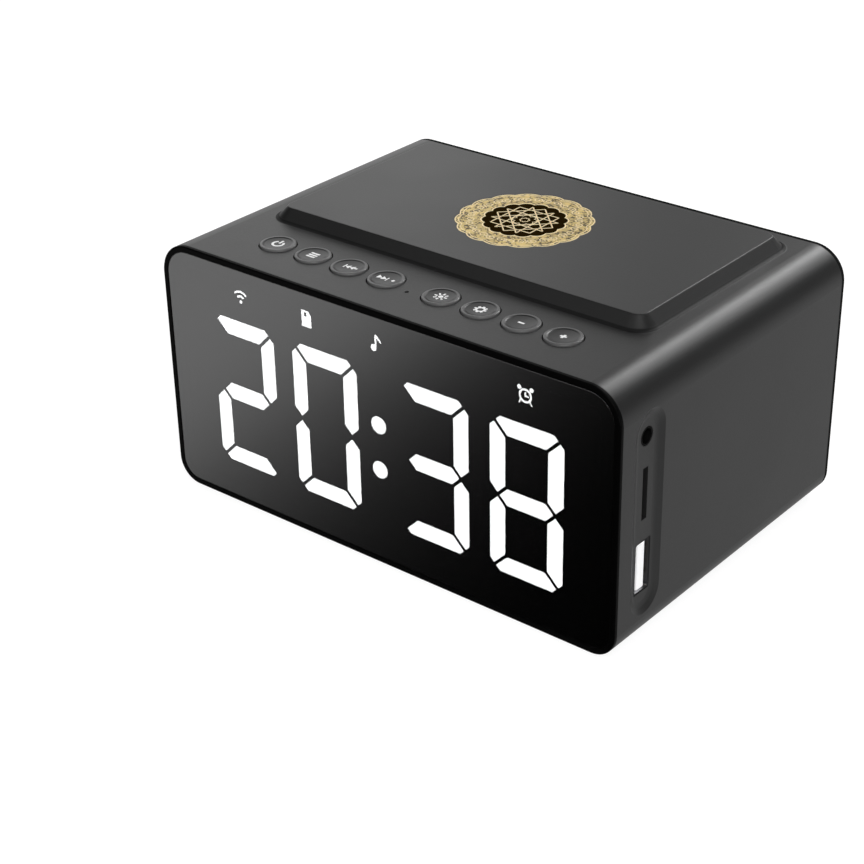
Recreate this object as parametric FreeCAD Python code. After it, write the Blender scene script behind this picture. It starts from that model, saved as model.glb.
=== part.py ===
import FreeCAD, Part
import math
import os

os.makedirs("parts", exist_ok=True)
vec = FreeCAD.Vector

# A clock speaker with a charging plateau. Millimetres, +Z up. The front faces -Y, and the
# origin is on the table, under the middle of the clock. Depths are measured backwards from
# the front plane and heights upwards from the underside of the housing.

# Overall size
width = 136.0
depth = 94.3
body_height = 66.7
foot_stand = 1.0
top_radius = 8.5
bottom_radius = 6.3
wall = 2.2
half_width = width / 2

# Plateau on the top
plateau_rise = 3.0
plateau_side_margin = 11.8
plateau_half_width = half_width - plateau_side_margin
plateau_near = 25.8
plateau_back_margin = 5.8
plateau_far = depth - plateau_back_margin
plateau_slope_run = 2.8
plateau_base_radius = 5.4
plateau_top_radius = 2.6
plateau_root_fillet = 1.8
plateau_edge_fillet = 0.35
plateau_wall = 2.0
plateau_pocket_margin = 2.2
plateau_pocket_overlap = 0.5

# Front bezel, lens and mask
bezel_band = 1.0
bezel_rim = 1.5
bezel_edge_fillet = 0.35
neck_inset = 1.0
neck_clearance = 0.1
neck_depth = 2.5
neck_end_gap = 0.05
lens_setback = 0.15
lens_thickness = 1.0
lens_clearance = 0.1
tape_thickness = 0.1
tape_outer_inset = 1.9
ledge_inset = 5.5
ledge_corner_radius = 3.0
tape_ledge_margin = 0.5
mask_gap = 0.02
mask_thickness = 0.2
mask_clearance = 0.1

# Indicators and digits
icon_top_margin = 8.7
icon_height = body_height - icon_top_margin
icon_span = 4.2
icon_stroke = 0.5
icon_centres = (-42.8, -21.4, 0.0, 42.4)
icon_window_margin = 0.4
wave_dot_radius = 0.45
wave_radii = (1.2, 2.4)
card_half_width = 1.5
card_corner = 1.1
card_corner_run = 0.9
card_notch_left = 0.7
card_notch_right = 0.1
card_notch_low = 1.5
card_notch_high = 0.5
note_head_radius = 0.85
note_head_shift = 0.7
note_staff_left = 0.35
note_staff_right = 0.15
note_flag_reach = 1.5
note_flag_drop = 1.2
note_flag_thickness = 0.7
alarm_ring_radius = 1.75
alarm_hand_half_width = 0.2
alarm_hand_reach = 0.9
alarm_hand_drop = 0.3
alarm_bell_radius = 0.55
alarm_bell_reach = 1.65
alarm_bell_rise = 1.75
alarm_leg_top = 1.0
alarm_leg_bottom = 1.5
alarm_leg_width = 0.4
alarm_leg_high = 1.1
alarm_leg_low = 2.1
icon_digit_gap = 7.1
digit_low = 10.9
digit_height = icon_height - icon_digit_gap - digit_low
digit_width = 20.3
digit_stroke = 4.3
digit_corner_cut = 2.8
segment_gap = 0.85
digit_centres = (-42.8, -16.45, 16.45, 42.8)
digit_lit = ("abged", "abcdef", "abgcd", "abcdefg")
colon_radius = 2.25
colon_heights = (25.0, 36.9)
segment_thickness = 0.8

# Reflector block and display board
reflector_side_margin = 3.05
reflector_low_margin = 2.7
reflector_high_margin = 2.9
reflector_half_width = digit_centres[-1] + digit_width / 2 + reflector_side_margin
reflector_low = digit_low - reflector_low_margin
reflector_high = icon_height + reflector_high_margin
reflector_back = 5.4
display_board_side_margin = 4.3
display_board_top_margin = 4.2
display_board_half_width = half_width - display_board_side_margin
display_board_low = 4.1
display_board_high = body_height - display_board_top_margin
display_board_thickness = 1.0
board_corner_radius = 3.0
led_length = 2.0
led_width = 1.25
led_height = 0.8
led_offset = 4.0
driver_chip_x = -20.0
driver_chip_height = 30.0
driver_chip_length = 15.4
driver_chip_breadth = 7.5
driver_chip_thickness = 2.4
driver_chip_legs = 12
receiver_width = 4.8
receiver_height = 6.8
receiver_side_gap = 0.8
receiver_middle = 31.4
receiver_front = 1.9
receiver_dome_radius = 1.9
receiver_dome_trim = 0.5

# Screw positions of the bezel, at the corners
bezel_post_margin = 6.3
bezel_post_x = half_width - bezel_post_margin
bezel_post_high = body_height - bezel_post_margin
bezel_post_low = bezel_post_margin
bezel_post_radius = 2.4
bezel_post_clearance = 0.05
ear_thickness = 2.0
ear_reach = 4.6

# Button row
button_offsets = (8.15, 19.6, 31.05, 42.5)
button_depth = 14.7
button_hole_radius = 4.75
button_cap_radius = 4.5
button_proud = 0.45
button_edge_fillet = 0.3
button_dish = 0.22
button_dish_radius = 3.9
button_flange_radius = 5.3
button_flange_thickness = 0.8
button_flange_gap = 0.05
button_post_radius = 1.6
switch_stem_radius = 1.7
switch_stem_clearance = 0.05
switch_stem_above = 1.0
switch_stem_below = 1.2
switch_bore_depth = 1.8
switch_size = 6.0
switch_height = 3.1
button_underspace = 6.4
key_board_top = body_height - wall - button_underspace
key_board_thickness = 1.2
key_board_side_margin = 8.0
key_board_front_margin = 5.1
key_board_back_margin = 2.8
key_post_distance = 8.5
key_post_radius = 2.2
key_post_depth = button_depth + key_post_distance
key_board_half_width = button_offsets[-1] + key_board_side_margin
key_board_near = button_depth - key_board_front_margin
key_board_far = key_post_depth + key_board_back_margin
key_post_centres = (-36.0, 0.0, 36.0)

# Microphone between the fourth and the fifth button
mic_forward = 2.3
mic_depth = button_depth - mic_forward
mic_hole_radius = 0.5
mic_boot_radius = 2.7
mic_capsule_radius = 2.0
mic_capsule_height = 2.0
mic_boot_roof = 0.6

# Recess with the ports in the right side
recess_depth = 1.0
recess_half_width = 5.7
recess_slope_run = 2.0
recess_floor_fillet = 3.0
recess_centre_depth = 11.45
recess_low = 7.3
recess_top_margin = 7.9
recess_high = body_height - recess_top_margin
recess_floor_x = half_width - recess_depth
pad_thickness = 2.0
pad_inner_x = recess_floor_x - pad_thickness
pad_back_margin = 1.85
pad_low_margin = 1.4
pad_high_margin = 1.0
pad_far = recess_centre_depth + recess_half_width + pad_back_margin
pad_low = recess_low - pad_low_margin
pad_high = recess_high + pad_high_margin
jack_top_margin = 6.9
jack_height = recess_high - jack_top_margin
jack_bore_radius = 1.8
jack_nozzle_radius = 2.2
jack_nozzle_clearance = 0.1
jack_body_width = 6.0
jack_body_thickness = 5.2
jack_body_length = 13.0
jack_bore_length = 14.0
card_slot_width = 12.9
card_slot_gap = 1.9
card_socket_width = 14.2
card_socket_thickness = 1.9
card_socket_length = 14.4
card_socket_sheet = 0.3
card_base_margin = 0.6
usb_low_margin = 11.9
usb_height = recess_low + usb_low_margin
usb_width = 13.2
card_height = (usb_height + usb_width / 2 + jack_height - jack_nozzle_radius) / 2
usb_thickness = 5.7
usb_sheet = 0.35
usb_length = 14.0
usb_clearance = 0.1
usb_setback = 0.1
usb_corner_radius = 0.5
tongue_width = 11.8
tongue_thickness = 2.6
tongue_centre_shift = -0.05
tongue_setback = 0.3
tongue_root = 1.2
usb_contact_count = 4
usb_contact_pitch = 2.3
usb_contact_width = 1.0
usb_contact_thickness = 0.15
usb_contact_length = 8.0
usb_contact_start = 0.8
port_leg_width = 1.0
port_leg_inset = 1.5
port_leg_root = 0.5
port_board_distance = 3.45
port_board_near = recess_centre_depth + port_board_distance
port_board_thickness = 1.2
port_board_width = 14.5
port_board_side_margin = 1.0
port_board_low_margin = 0.9
port_board_jack_margin = 3.5
port_board_right = pad_inner_x - port_board_side_margin
port_board_left = port_board_right - port_board_width
port_board_low = recess_low + port_board_low_margin
port_board_high = jack_height + port_board_jack_margin
rail_reach = 6.0
rail_cheek = 0.6
rail_slot_clearance = 0.05
rail_overlap = 1.2
rail_base = 2.0

# Medallion let into the plateau
medallion_radius = 16.4
medallion_inner_radius = 9.7
medallion_scallops = 16
medallion_scallop_rise = 0.75
medallion_centre_depth = (plateau_near + plateau_far) / 2
medallion_thickness = 0.3
medallion_setback = 0.02
medallion_clearance = 0.05

# Charging coil and its board
pocket_inset = plateau_slope_run + plateau_pocket_margin
ferrite_margin = 2.35
ferrite_width = 48.0
ferrite_length = plateau_far - plateau_near - 2 * (pocket_inset + ferrite_margin)
ferrite_thickness = 0.8
coil_margin = 3.0
coil_outer_radius = ferrite_length / 2 - coil_margin
coil_inner_radius = 10.5
coil_thickness = 1.1
charger_board_half_width = 35.0
charger_board_length = ferrite_length
charger_board_drop = 3.8
ceiling_height = body_height + plateau_rise - plateau_wall
charger_board_top = ceiling_height - coil_thickness - ferrite_thickness - charger_board_drop
charger_board_thickness = 1.2
charger_post_inset = 4.0
charger_post_x = charger_board_half_width - charger_post_inset
charger_post_y = charger_board_length / 2 - charger_post_inset
charger_post_radius = 2.2
controller_x = -12.0
controller_length = 9.0
controller_breadth = 6.0
controller_thickness = 1.6
controller_legs = 8
bridge_x = 10.0
bridge_length = 6.0
bridge_breadth = 4.0
bridge_thickness = 1.4
bridge_legs = 5
charger_chip_forward = 8.0
inductor_x = -2.5
inductor_size = 7.0
inductor_thickness = 3.0
inductor_backward = 7.5
film_capacitor_x = 11.0
film_capacitor_length = 6.0
film_capacitor_breadth = 4.0
film_capacitor_thickness = 1.8

# Packaged chips
chip_standoff = 0.2
chip_leg_height = 0.9
chip_leg_length = 1.1
chip_leg_offset = 0.45
chip_leg_start = 0.3
chip_leg_width = 0.4

# Main board
main_board_half_width = 48.0
main_board_near = 24.0
main_board_length = 40.0
main_board_far = main_board_near + main_board_length
main_board_low = 7.0
main_board_thickness = 1.6
main_post_inset = 5.0
main_post_x = main_board_half_width - main_post_inset
main_post_radius = 2.6
processor_x = -18.0
processor_from_near = 16.0
processor_length = 10.0
processor_breadth = 7.0
processor_thickness = 1.8
processor_legs = 12
amplifier_x = 8.0
amplifier_from_near = 14.0
amplifier_length = 8.0
amplifier_breadth = 5.0
amplifier_thickness = 1.6
amplifier_legs = 8
clock_chip_x = 22.0
clock_chip_from_near = 28.0
clock_chip_length = 10.0
clock_chip_breadth = 5.0
capacitor_radius = 4.0
capacitor_height = 11.0
capacitor_places = ((-34.0, 22.0), (-34.0, 33.0), (36.0, 20.0))
capacitor_groove_low = 1.2
capacitor_groove_high = 1.8
capacitor_groove_depth = 0.3

# Battery on the left wall
battery_thickness = 10.0
battery_length = 50.0
battery_width = 34.0
battery_near = 30.0
battery_low = 12.0
battery_fold = 1.2
battery_pad_thickness = 0.5
battery_pad_margin = 2.0

# Loudspeaker, firing backwards through the rear cover
speaker_height = body_height / 2
speaker_flange_radius = 26.0
speaker_flange_thickness = 1.0
speaker_depth = 24.0
speaker_magnet_radius = 16.0
speaker_magnet_hole = 9.0
speaker_magnet_thickness = 7.0
speaker_plate_thickness = 3.0
speaker_pole_radius = 6.4
speaker_coil_radius = 7.0
speaker_coil_wall = 0.5
speaker_gap_radius = 7.9
speaker_basket_sheet = 0.8
speaker_drum_depth = 5.0
speaker_window = 12.0
speaker_cone_radius = 19.5
speaker_cone_sheet = 0.5
speaker_surround_radius = 24.2
speaker_surround_sheet = 0.5
speaker_cone_setback = 4.5
speaker_cone_drop = 5.0
speaker_cap_rise = 2.4
speaker_cap_margin = 1.6
speaker_foot_inset = 1.5
speaker_foot_lip = 2.0
speaker_top_plate_inset = 0.6
speaker_pole_plate_inset = 0.3
speaker_coil_dip = 1.0
speaker_neck_seam = 0.05
cloth_inset = 0.5
cloth_thickness = 0.2

# Rear cover
cover_band = 1.0
cover_plate = 2.2
cover_edge_fillet = 0.7
cover_fit = 0.1
cover_lip = 1.5
cover_lip_length = 2.6
cover_post_side_margin = 8.4
cover_post_end_margin = 8.5
cover_post_x = half_width - cover_post_side_margin
cover_post_high = body_height - cover_post_end_margin
cover_post_low = cover_post_end_margin
cover_post_radius = 3.4
cover_post_length = 20.0
grille_radius = 22.0
grille_hole_radius = 0.95
grille_pitch = 3.1
speaker_ring_wall = 1.4
speaker_ring_clearance = 0.3
speaker_ring_length = 2.2

# Power inlet in the rear cover
inlet_side_margin = 24.0
inlet_x = half_width - inlet_side_margin
inlet_height = 14.0
inlet_width = 9.0
inlet_thickness = 3.2
inlet_length = 8.0
inlet_sheet = 0.3
inlet_clearance = 0.3
inlet_setback = 0.5
inlet_tongue_width = 6.7
inlet_tongue_thickness = 0.7
inlet_tongue_setback = 1.0
power_board_half_width = 12.0
power_board_length = 12.0
power_board_back_gap = 3.0
power_board_thickness = 1.2
power_post_offset = 8.5
power_post_radius = 2.4

# Feet
foot_radius = 6.0
foot_pocket = 0.6
foot_pocket_clearance = 0.1
foot_edge = 0.4
foot_side_margin = 14.0
foot_end_margin = 12.2
foot_x = half_width - foot_side_margin
foot_near = foot_end_margin
foot_far = depth - foot_end_margin

# Screws
screw_radius = 1.1
screw_hole_radius = 1.3
screw_head_radius = 2.0
screw_head_height = 1.3
screw_cross_length = 2.2
screw_cross_width = 0.5
screw_cross_depth = 0.7
board_screw_length = 5.0
cover_screw_bite = 10.0
bezel_screw_end = 0.7
cover_screw_sink = 1.5
cover_head_clearance = 0.2

# Leads inside the clock
lead_radius = 0.6
lead_bend_share = 0.45
lead_stub = 6.5
lead_sag = 3.0
lead_end_inset = 3.0
display_lead_height = 22.0
lead_column = 10.0
key_lead_x = -20.0
key_lead_shift = 6.0
port_lead_height = 30.0
port_lead_from_left = 4.0
port_lead_end_x = 36.0
coil_lead_x = 28.0
coil_lead_inset = 9.0
battery_lead_inset = 10.0
battery_lead_end_x = -40.0
speaker_lead_radius = 25.6
power_lead_x = 38.0

front_y = -depth / 2
body_low = foot_stand
body_high = foot_stand + body_height
plateau_top = body_high + plateau_rise
lens_back = lens_setback + lens_thickness
ledge_front = lens_back + tape_thickness
mask_front = lens_back + mask_gap
mask_back = mask_front + mask_thickness
cavity_high = body_high - wall
ceiling = body_low + ceiling_height
cover_inner = depth - cover_plate
key_bite = board_screw_length - key_board_thickness
charger_bite = board_screw_length - charger_board_thickness
main_bite = board_screw_length - main_board_thickness
power_bite = board_screw_length - power_board_thickness


def back(distance):
    return front_y + distance


def up(height):
    return body_low + height


def save(name, shape):
    shape.exportStep("parts/" + name + ".step")


def block(x0, x1, near, far, low, high):
    corner = vec(x0, back(near), low)
    return Part.makeBox(x1 - x0, far - near, high - low, corner)


def rod_z(radius, x, distance, low, high):
    return Part.makeCylinder(radius, high - low, vec(x, back(distance), low), vec(0, 0, 1))


def rod_y(radius, x, z, near, far):
    return Part.makeCylinder(radius, far - near, vec(x, back(near), z), vec(0, 1, 0))


def rod_x(radius, x0, x1, distance, z):
    return Part.makeCylinder(radius, x1 - x0, vec(x0, back(distance), z), vec(1, 0, 0))


def join(first, others):
    return first.fuse(others).removeSplitter()


# A closed loop through the corners, each rounded by its own radius.
def rounded_wire(corners, radii):
    bends = []
    for index, corner in enumerate(corners):
        before = (corners[index - 1] - corner).normalize()
        after = (corners[(index + 1) % len(corners)] - corner).normalize()
        half_angle = before.getAngle(after) / 2
        inward = (before + after).normalize()
        radius = radii[index]
        reach = radius / math.tan(half_angle)
        middle = corner + inward * (radius / math.sin(half_angle) - radius)
        bends.append((corner + before * reach, middle, corner + after * reach))
    edges = []
    for index, bend in enumerate(bends):
        following = bends[(index + 1) % len(bends)]
        edges.append(Part.Arc(*bend).toShape())
        edges.append(Part.makeLine(bend[2], following[0]))
    return Part.Wire(edges)


def front_loop(half, low, high, high_radius, low_radius, distance):
    y = back(distance)
    corners = [vec(-half, y, low), vec(half, y, low), vec(half, y, high), vec(-half, y, high)]
    return rounded_wire(corners, [low_radius, low_radius, high_radius, high_radius])


def front_prism(half, low, high, high_radius, low_radius, near, far):
    loop = front_loop(half, low, high, high_radius, low_radius, near)
    return Part.Face(loop).extrude(vec(0, far - near, 0))


# The outline of the clock seen from the front, drawn in by the inset, as a prism.
def body_prism(inset, near, far):
    high_radius = top_radius - inset
    low_radius = bottom_radius - inset
    return front_prism(half_width - inset, body_low + inset, body_high - inset,
                       high_radius, low_radius, near, far)


def ledge_prism(inset, near, far):
    radius = ledge_corner_radius
    return front_prism(half_width - inset, body_low + inset, body_high - inset,
                       radius, radius, near, far)


def level_loop(half, near, far, radius, z):
    corners = [vec(-half, back(near), z), vec(half, back(near), z),
               vec(half, back(far), z), vec(-half, back(far), z)]
    return rounded_wire(corners, [radius] * 4)


def side_stadium(x, half, low, high, distance):
    y = back(distance)
    low_centre = low + half
    high_centre = high - half
    edges = [
        Part.makeLine(vec(x, y + half, low_centre), vec(x, y + half, high_centre)),
        Part.Arc(vec(x, y + half, high_centre), vec(x, y, high), vec(x, y - half, high_centre)).toShape(),
        Part.makeLine(vec(x, y - half, high_centre), vec(x, y - half, low_centre)),
        Part.Arc(vec(x, y - half, low_centre), vec(x, y, low), vec(x, y + half, low_centre)).toShape(),
    ]
    return Part.Wire(edges)


# Screw with a pan head and a cross recess. The head's seat is at the point, and the shaft
# runs along the direction.
def screw(seat, direction, length):
    shaft = Part.makeCylinder(screw_radius, length, seat, direction)
    head = Part.makeCylinder(screw_head_radius, screw_head_height, seat, direction * -1)
    top = seat - direction * screw_head_height
    cross = []
    for turn in (0, 90):
        half_length = screw_cross_length / 2
        half_slot = screw_cross_width / 2
        slot = Part.makeBox(screw_cross_length, screw_cross_width, screw_cross_depth,
                            vec(-half_length, -half_slot, 0))
        slot.rotate(vec(0, 0, 0), vec(0, 0, 1), turn)
        aimed = FreeCAD.Placement(top, FreeCAD.Rotation(vec(0, 0, 1), direction))
        slot.Placement = aimed.multiply(slot.Placement)
        cross.append(slot)
    return join(head, [shaft]).cut(cross)


def plateau_shape():
    base = level_loop(plateau_half_width, plateau_near, plateau_far, plateau_base_radius, body_high)
    run = plateau_slope_run
    crown = level_loop(plateau_half_width - run, plateau_near + run, plateau_far - run,
                       plateau_top_radius, plateau_top)
    return Part.makeLoft([base, crown], True, True)


def edges_at(shape, z, x_limit):
    chosen = []
    for edge in shape.Edges:
        box = edge.BoundBox
        level = abs(box.ZMin - z) < 0.001 and abs(box.ZMax - z) < 0.001
        inside = box.XMin > -x_limit and box.XMax < x_limit
        if level and inside:
            chosen.append(edge)
    return chosen


def foot_places():
    return [(side * foot_x, distance) for side in (-1, 1) for distance in (foot_near, foot_far)]


def bezel_places():
    return [(side * bezel_post_x, up(height)) for side in (-1, 1)
            for height in (bezel_post_low, bezel_post_high)]


def cover_places():
    return [(side * cover_post_x, up(height)) for side in (-1, 1)
            for height in (cover_post_low, cover_post_high)]


def button_places():
    left = [-offset for offset in reversed(button_offsets)]
    return left + list(button_offsets)


def charger_places():
    middle = medallion_centre_depth
    return [(side * charger_post_x, middle + way * charger_post_y) for side in (-1, 1) for way in (-1, 1)]


def main_places():
    near = main_board_near + main_post_inset
    far = main_board_far - main_post_inset
    return [(side * main_post_x, distance) for side in (-1, 1) for distance in (near, far)]


def power_board_top():
    return up(inlet_height) - inlet_thickness / 2


def power_places():
    distance = cover_inner - power_board_back_gap - power_board_length / 2
    return [(inlet_x + side * power_post_offset, distance) for side in (-1, 1)]


# Outline of the medallion: scallops that bulge outwards and meet in points.
def medallion_prism(grow, radius, low, high):
    centre = vec(0, back(medallion_centre_depth), low)
    step = 2 * math.pi / medallion_scallops
    edges = []
    for index in range(medallion_scallops):
        angles = (index * step, (index + 0.5) * step, (index + 1) * step)
        reaches = (radius + grow, radius + medallion_scallop_rise + grow, radius + grow)
        points = [centre + vec(math.cos(a) * r, math.sin(a) * r, 0) for a, r in zip(angles, reaches)]
        edges.append(Part.Arc(*points).toShape())
    return Part.Face(Part.Wire(edges)).extrude(vec(0, 0, high - low))


def recess_cut():
    opening = side_stadium(half_width, recess_half_width, up(recess_low), up(recess_high),
                           recess_centre_depth)
    run = recess_slope_run
    floor = side_stadium(recess_floor_x, recess_half_width - run, up(recess_low) + run,
                         up(recess_high) - run, recess_centre_depth)
    cut = Part.makeLoft([opening, floor], True, True)
    rim = [edge for edge in cut.Edges if abs(edge.BoundBox.XMax - recess_floor_x) < 0.001]
    return cut.makeFillet(recess_floor_fillet, rim)


def usb_prism(grow, x0, x1):
    y = back(recess_centre_depth)
    half_y = usb_thickness / 2 + grow
    half_z = usb_width / 2 + grow
    z = up(usb_height)
    corners = [vec(x0, y - half_y, z - half_z), vec(x0, y + half_y, z - half_z),
               vec(x0, y + half_y, z + half_z), vec(x0, y - half_y, z + half_z)]
    loop = rounded_wire(corners, [usb_corner_radius] * 4)
    return Part.Face(loop).extrude(vec(x1 - x0, 0, 0))


def housing_skin():
    skin = body_prism(0, bezel_band, depth - cover_band)
    skin = join(skin, [plateau_shape()])
    inside = plateau_half_width + wall
    skin = skin.makeFillet(plateau_root_fillet, edges_at(skin, body_high, inside))
    return skin.makeFillet(plateau_edge_fillet, edges_at(skin, plateau_top, inside))


def housing_inner_solids():
    solids = []
    solids.append(block(pad_inner_x, half_width - wall / 2, neck_depth, pad_far, up(pad_low), up(pad_high)))
    ear_near = reflector_back + display_board_thickness
    for x, z in bezel_places():
        reach = ear_reach
        ear = Part.makeBox(2 * reach, ear_thickness, 2 * reach, vec(x - reach, back(ear_near), z - reach))
        solids.append(ear.common(body_prism(wall / 2, ear_near, ear_near + ear_thickness)))
    for x, z in cover_places():
        near = cover_inner - cover_post_length
        post = rod_y(cover_post_radius, x, z, near, cover_inner)
        outward = math.copysign(half_width, x)
        rib_end = cover_inner - cover_lip_length - cover_fit
        rib = block(min(x, outward), max(x, outward), near, rib_end, z - wall / 2, z + wall / 2)
        solids.append(post)
        solids.append(rib.common(body_prism(wall / 2, near, rib_end)))
    for x in key_post_centres:
        solids.append(rod_z(key_post_radius, x, key_post_depth, up(key_board_top), cavity_high + wall / 2))
    for x, distance in charger_places():
        solids.append(rod_z(charger_post_radius, x, distance, up(charger_board_top),
                            ceiling + plateau_wall / 2))
    for x, distance in main_places():
        solids.append(rod_z(main_post_radius, x, distance, body_low + wall / 2, up(main_board_low)))
    for x, distance in power_places():
        top = power_board_top() - power_board_thickness
        solids.append(rod_z(power_post_radius, x, distance, body_low + wall / 2, top))
    solids.extend(port_board_rails())
    return solids


# Two slotted blocks on the inner wall hold the lower and upper edge of the port board.
def port_board_rails():
    slot_near = port_board_near - rail_slot_clearance
    slot_far = port_board_near + port_board_thickness + rail_slot_clearance
    near = slot_near - rail_cheek
    far = slot_far + rail_cheek
    left = pad_inner_x - rail_reach
    right = pad_inner_x + pad_thickness / 2
    low_edge = up(port_board_low)
    high_edge = up(port_board_high)
    gap = rail_slot_clearance
    lower = block(left, right, near, far, low_edge - rail_base, low_edge + rail_overlap)
    lower = lower.cut(block(left, pad_inner_x, slot_near, slot_far, low_edge - gap, low_edge + rail_overlap))
    upper = block(left, right, near, far, high_edge - rail_overlap, high_edge + rail_base)
    upper = upper.cut(block(left, pad_inner_x, slot_near, slot_far,
                            high_edge - rail_overlap, high_edge + gap))
    return [lower, upper]


def housing_cuts():
    cuts = [recess_cut()]
    cuts.append(rod_x(jack_nozzle_radius + jack_nozzle_clearance, pad_inner_x, half_width,
                      recess_centre_depth, up(jack_height)))
    half_gap = card_slot_gap / 2
    half_slot = card_slot_width / 2
    cuts.append(block(pad_inner_x, half_width, recess_centre_depth - half_gap, recess_centre_depth + half_gap,
                      up(card_height) - half_slot, up(card_height) + half_slot))
    cuts.append(usb_prism(usb_clearance, pad_inner_x, half_width))
    for x in button_places():
        cuts.append(rod_z(button_hole_radius, x, button_depth, cavity_high, body_high))
    cuts.append(rod_z(mic_hole_radius, 0, mic_depth, cavity_high, body_high))
    cuts.append(medallion_prism(medallion_clearance, medallion_radius,
                                plateau_top - medallion_thickness - medallion_setback, plateau_top))
    for x, distance in foot_places():
        cuts.append(rod_z(foot_radius + foot_pocket_clearance, x, distance, body_low, body_low + foot_pocket))
    ear_near = reflector_back + display_board_thickness
    for x, z in bezel_places():
        cuts.append(rod_y(screw_hole_radius, x, z, ear_near, ear_near + ear_thickness))
    for x, z in cover_places():
        cuts.append(rod_y(screw_radius, x, z, cover_inner - cover_screw_bite, cover_inner))
    for x in key_post_centres:
        cuts.append(rod_z(screw_radius, x, key_post_depth, up(key_board_top), up(key_board_top) + key_bite))
    for x, distance in charger_places():
        low = up(charger_board_top)
        cuts.append(rod_z(screw_radius, x, distance, low, low + charger_bite))
    for x, distance in main_places():
        high = up(main_board_low)
        cuts.append(rod_z(screw_radius, x, distance, high - main_bite, high))
    for x, distance in power_places():
        high = power_board_top() - power_board_thickness
        cuts.append(rod_z(screw_radius, x, distance, high - power_bite, high))
    return cuts


def housing():
    shape = housing_skin()
    shape = shape.cut(body_prism(wall, 0, depth))
    shape = shape.cut(body_prism(neck_inset, 0, neck_depth))
    pocket_low = cavity_high - plateau_pocket_overlap
    pocket_loop = level_loop(plateau_half_width - pocket_inset, plateau_near + pocket_inset,
                             plateau_far - pocket_inset, plateau_top_radius, pocket_low)
    shape = shape.cut(Part.Face(pocket_loop).extrude(vec(0, 0, ceiling - pocket_low)))
    shape = join(shape, housing_inner_solids())
    shape = shape.cut(housing_cuts())
    save("housing", shape)


def bezel():
    ring = body_prism(0, 0, bezel_band)
    front_edges = [edge for edge in ring.Edges if edge.BoundBox.YMax < front_y + 0.001]
    ring = ring.makeFillet(bezel_edge_fillet, front_edges)
    neck = body_prism(neck_inset + neck_clearance, bezel_band, neck_depth - neck_end_gap)
    shape = join(ring, [neck])
    shape = shape.cut(body_prism(bezel_rim, 0, ledge_front))
    shape = shape.cut(ledge_prism(ledge_inset, 0, neck_depth))
    post_front = mask_back + bezel_post_clearance
    posts = [rod_y(bezel_post_radius, x, z, post_front, reflector_back) for x, z in bezel_places()]
    shape = join(shape, posts)
    hole_near = ledge_front + bezel_screw_end
    holes = [rod_y(screw_radius, x, z, hole_near, reflector_back) for x, z in bezel_places()]
    save("front_bezel", shape.cut(holes))
    save("display_lens", body_prism(bezel_rim + lens_clearance, lens_setback, lens_back))
    tape = body_prism(tape_outer_inset, lens_back, ledge_front)
    tape = tape.cut(ledge_prism(ledge_inset - tape_ledge_margin, lens_back, ledge_front))
    save("lens_adhesive_frame", tape)


# Outline of one digit segment, in the digit's own coordinates from its lower left corner.
def segment_outline(letter):
    w = digit_width
    h = digit_height
    s = digit_stroke
    cut = digit_corner_cut
    g = segment_gap / math.sqrt(2)
    middle = h / 2
    corner = (cut - g) / 2
    inner = s + g
    top = [(corner + g, h - corner), (cut, h), (w - cut, h), (w - corner - g, h - corner),
           (w - inner, h - s), (inner, h - s)]
    side = [(0, h - cut), (corner, h - corner - g), (s, h - inner), (s, middle + s / 2 + g),
            (s / 2, middle + g), (0, middle + s / 2 + g)]
    bar = [(s / 2 + g, middle), (s + g, middle + s / 2), (w - s - g, middle + s / 2),
           (w - s / 2 - g, middle), (w - s - g, middle - s / 2), (s + g, middle - s / 2)]
    shapes = {
        "a": top,
        "d": [(x, h - z) for x, z in top],
        "g": bar,
        "f": side,
        "e": [(x, h - z) for x, z in side],
        "b": [(w - x, z) for x, z in side],
        "c": [(w - x, h - z) for x, z in side],
    }
    return shapes[letter]


def flat_polygon(points, near, far):
    corners = [vec(x, back(near), z) for x, z in points]
    loop = Part.makePolygon(corners + corners[:1])
    return Part.Face(loop).extrude(vec(0, far - near, 0))


def segment_solid(digit, letter, near, far):
    left = digit_centres[digit] - digit_width / 2
    points = [(left + x, up(digit_low) + z) for x, z in segment_outline(letter)]
    return flat_polygon(points, near, far)


def all_segments(near, far):
    lit = []
    unlit = []
    for digit, letters in enumerate(digit_lit):
        for letter in "abcdefg":
            group = lit if letter in letters else unlit
            group.append(segment_solid(digit, letter, near, far))
    for height in colon_heights:
        lit.append(rod_y(colon_radius, 0, up(height), near, far))
    return lit, unlit


def arc_band(x, z, radius, start, end, near, far):
    y = back(near)
    rim = []
    for reach, first, last in ((radius + icon_stroke, start, end), (radius, end, start)):
        points = []
        for angle in (first, (first + last) / 2, last):
            turn = math.radians(angle)
            points.append(vec(x + reach * math.cos(turn), y, z + reach * math.sin(turn)))
        rim.append(points)
    edges = [
        Part.Arc(*rim[0]).toShape(),
        Part.makeLine(rim[0][2], rim[1][0]),
        Part.Arc(*rim[1]).toShape(),
        Part.makeLine(rim[1][2], rim[0][0]),
    ]
    return Part.Face(Part.Wire(edges)).extrude(vec(0, far - near, 0))


# Radio waves over a dot.
def waves_icon(x, z, near, far):
    low = z - icon_span / 2 + icon_stroke
    solids = [rod_y(wave_dot_radius, x, low, near, far)]
    for radius in wave_radii:
        solids.append(arc_band(x, low, radius, 45, 135, near, far))
    return solids


# A memory card with a cut corner and a notch.
def card_icon(x, z, near, far):
    half = icon_span / 2
    high = z + half
    left = x - card_half_width
    right = x + card_half_width
    outline = [(left, z - half), (right, z - half), (right, high - card_corner),
               (right - card_corner_run, high), (left, high)]
    notch = block(x - card_notch_left, x + card_notch_right, near, far,
                  high - card_notch_low, high - card_notch_high)
    return [flat_polygon(outline, near, far).cut(notch)]


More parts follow.
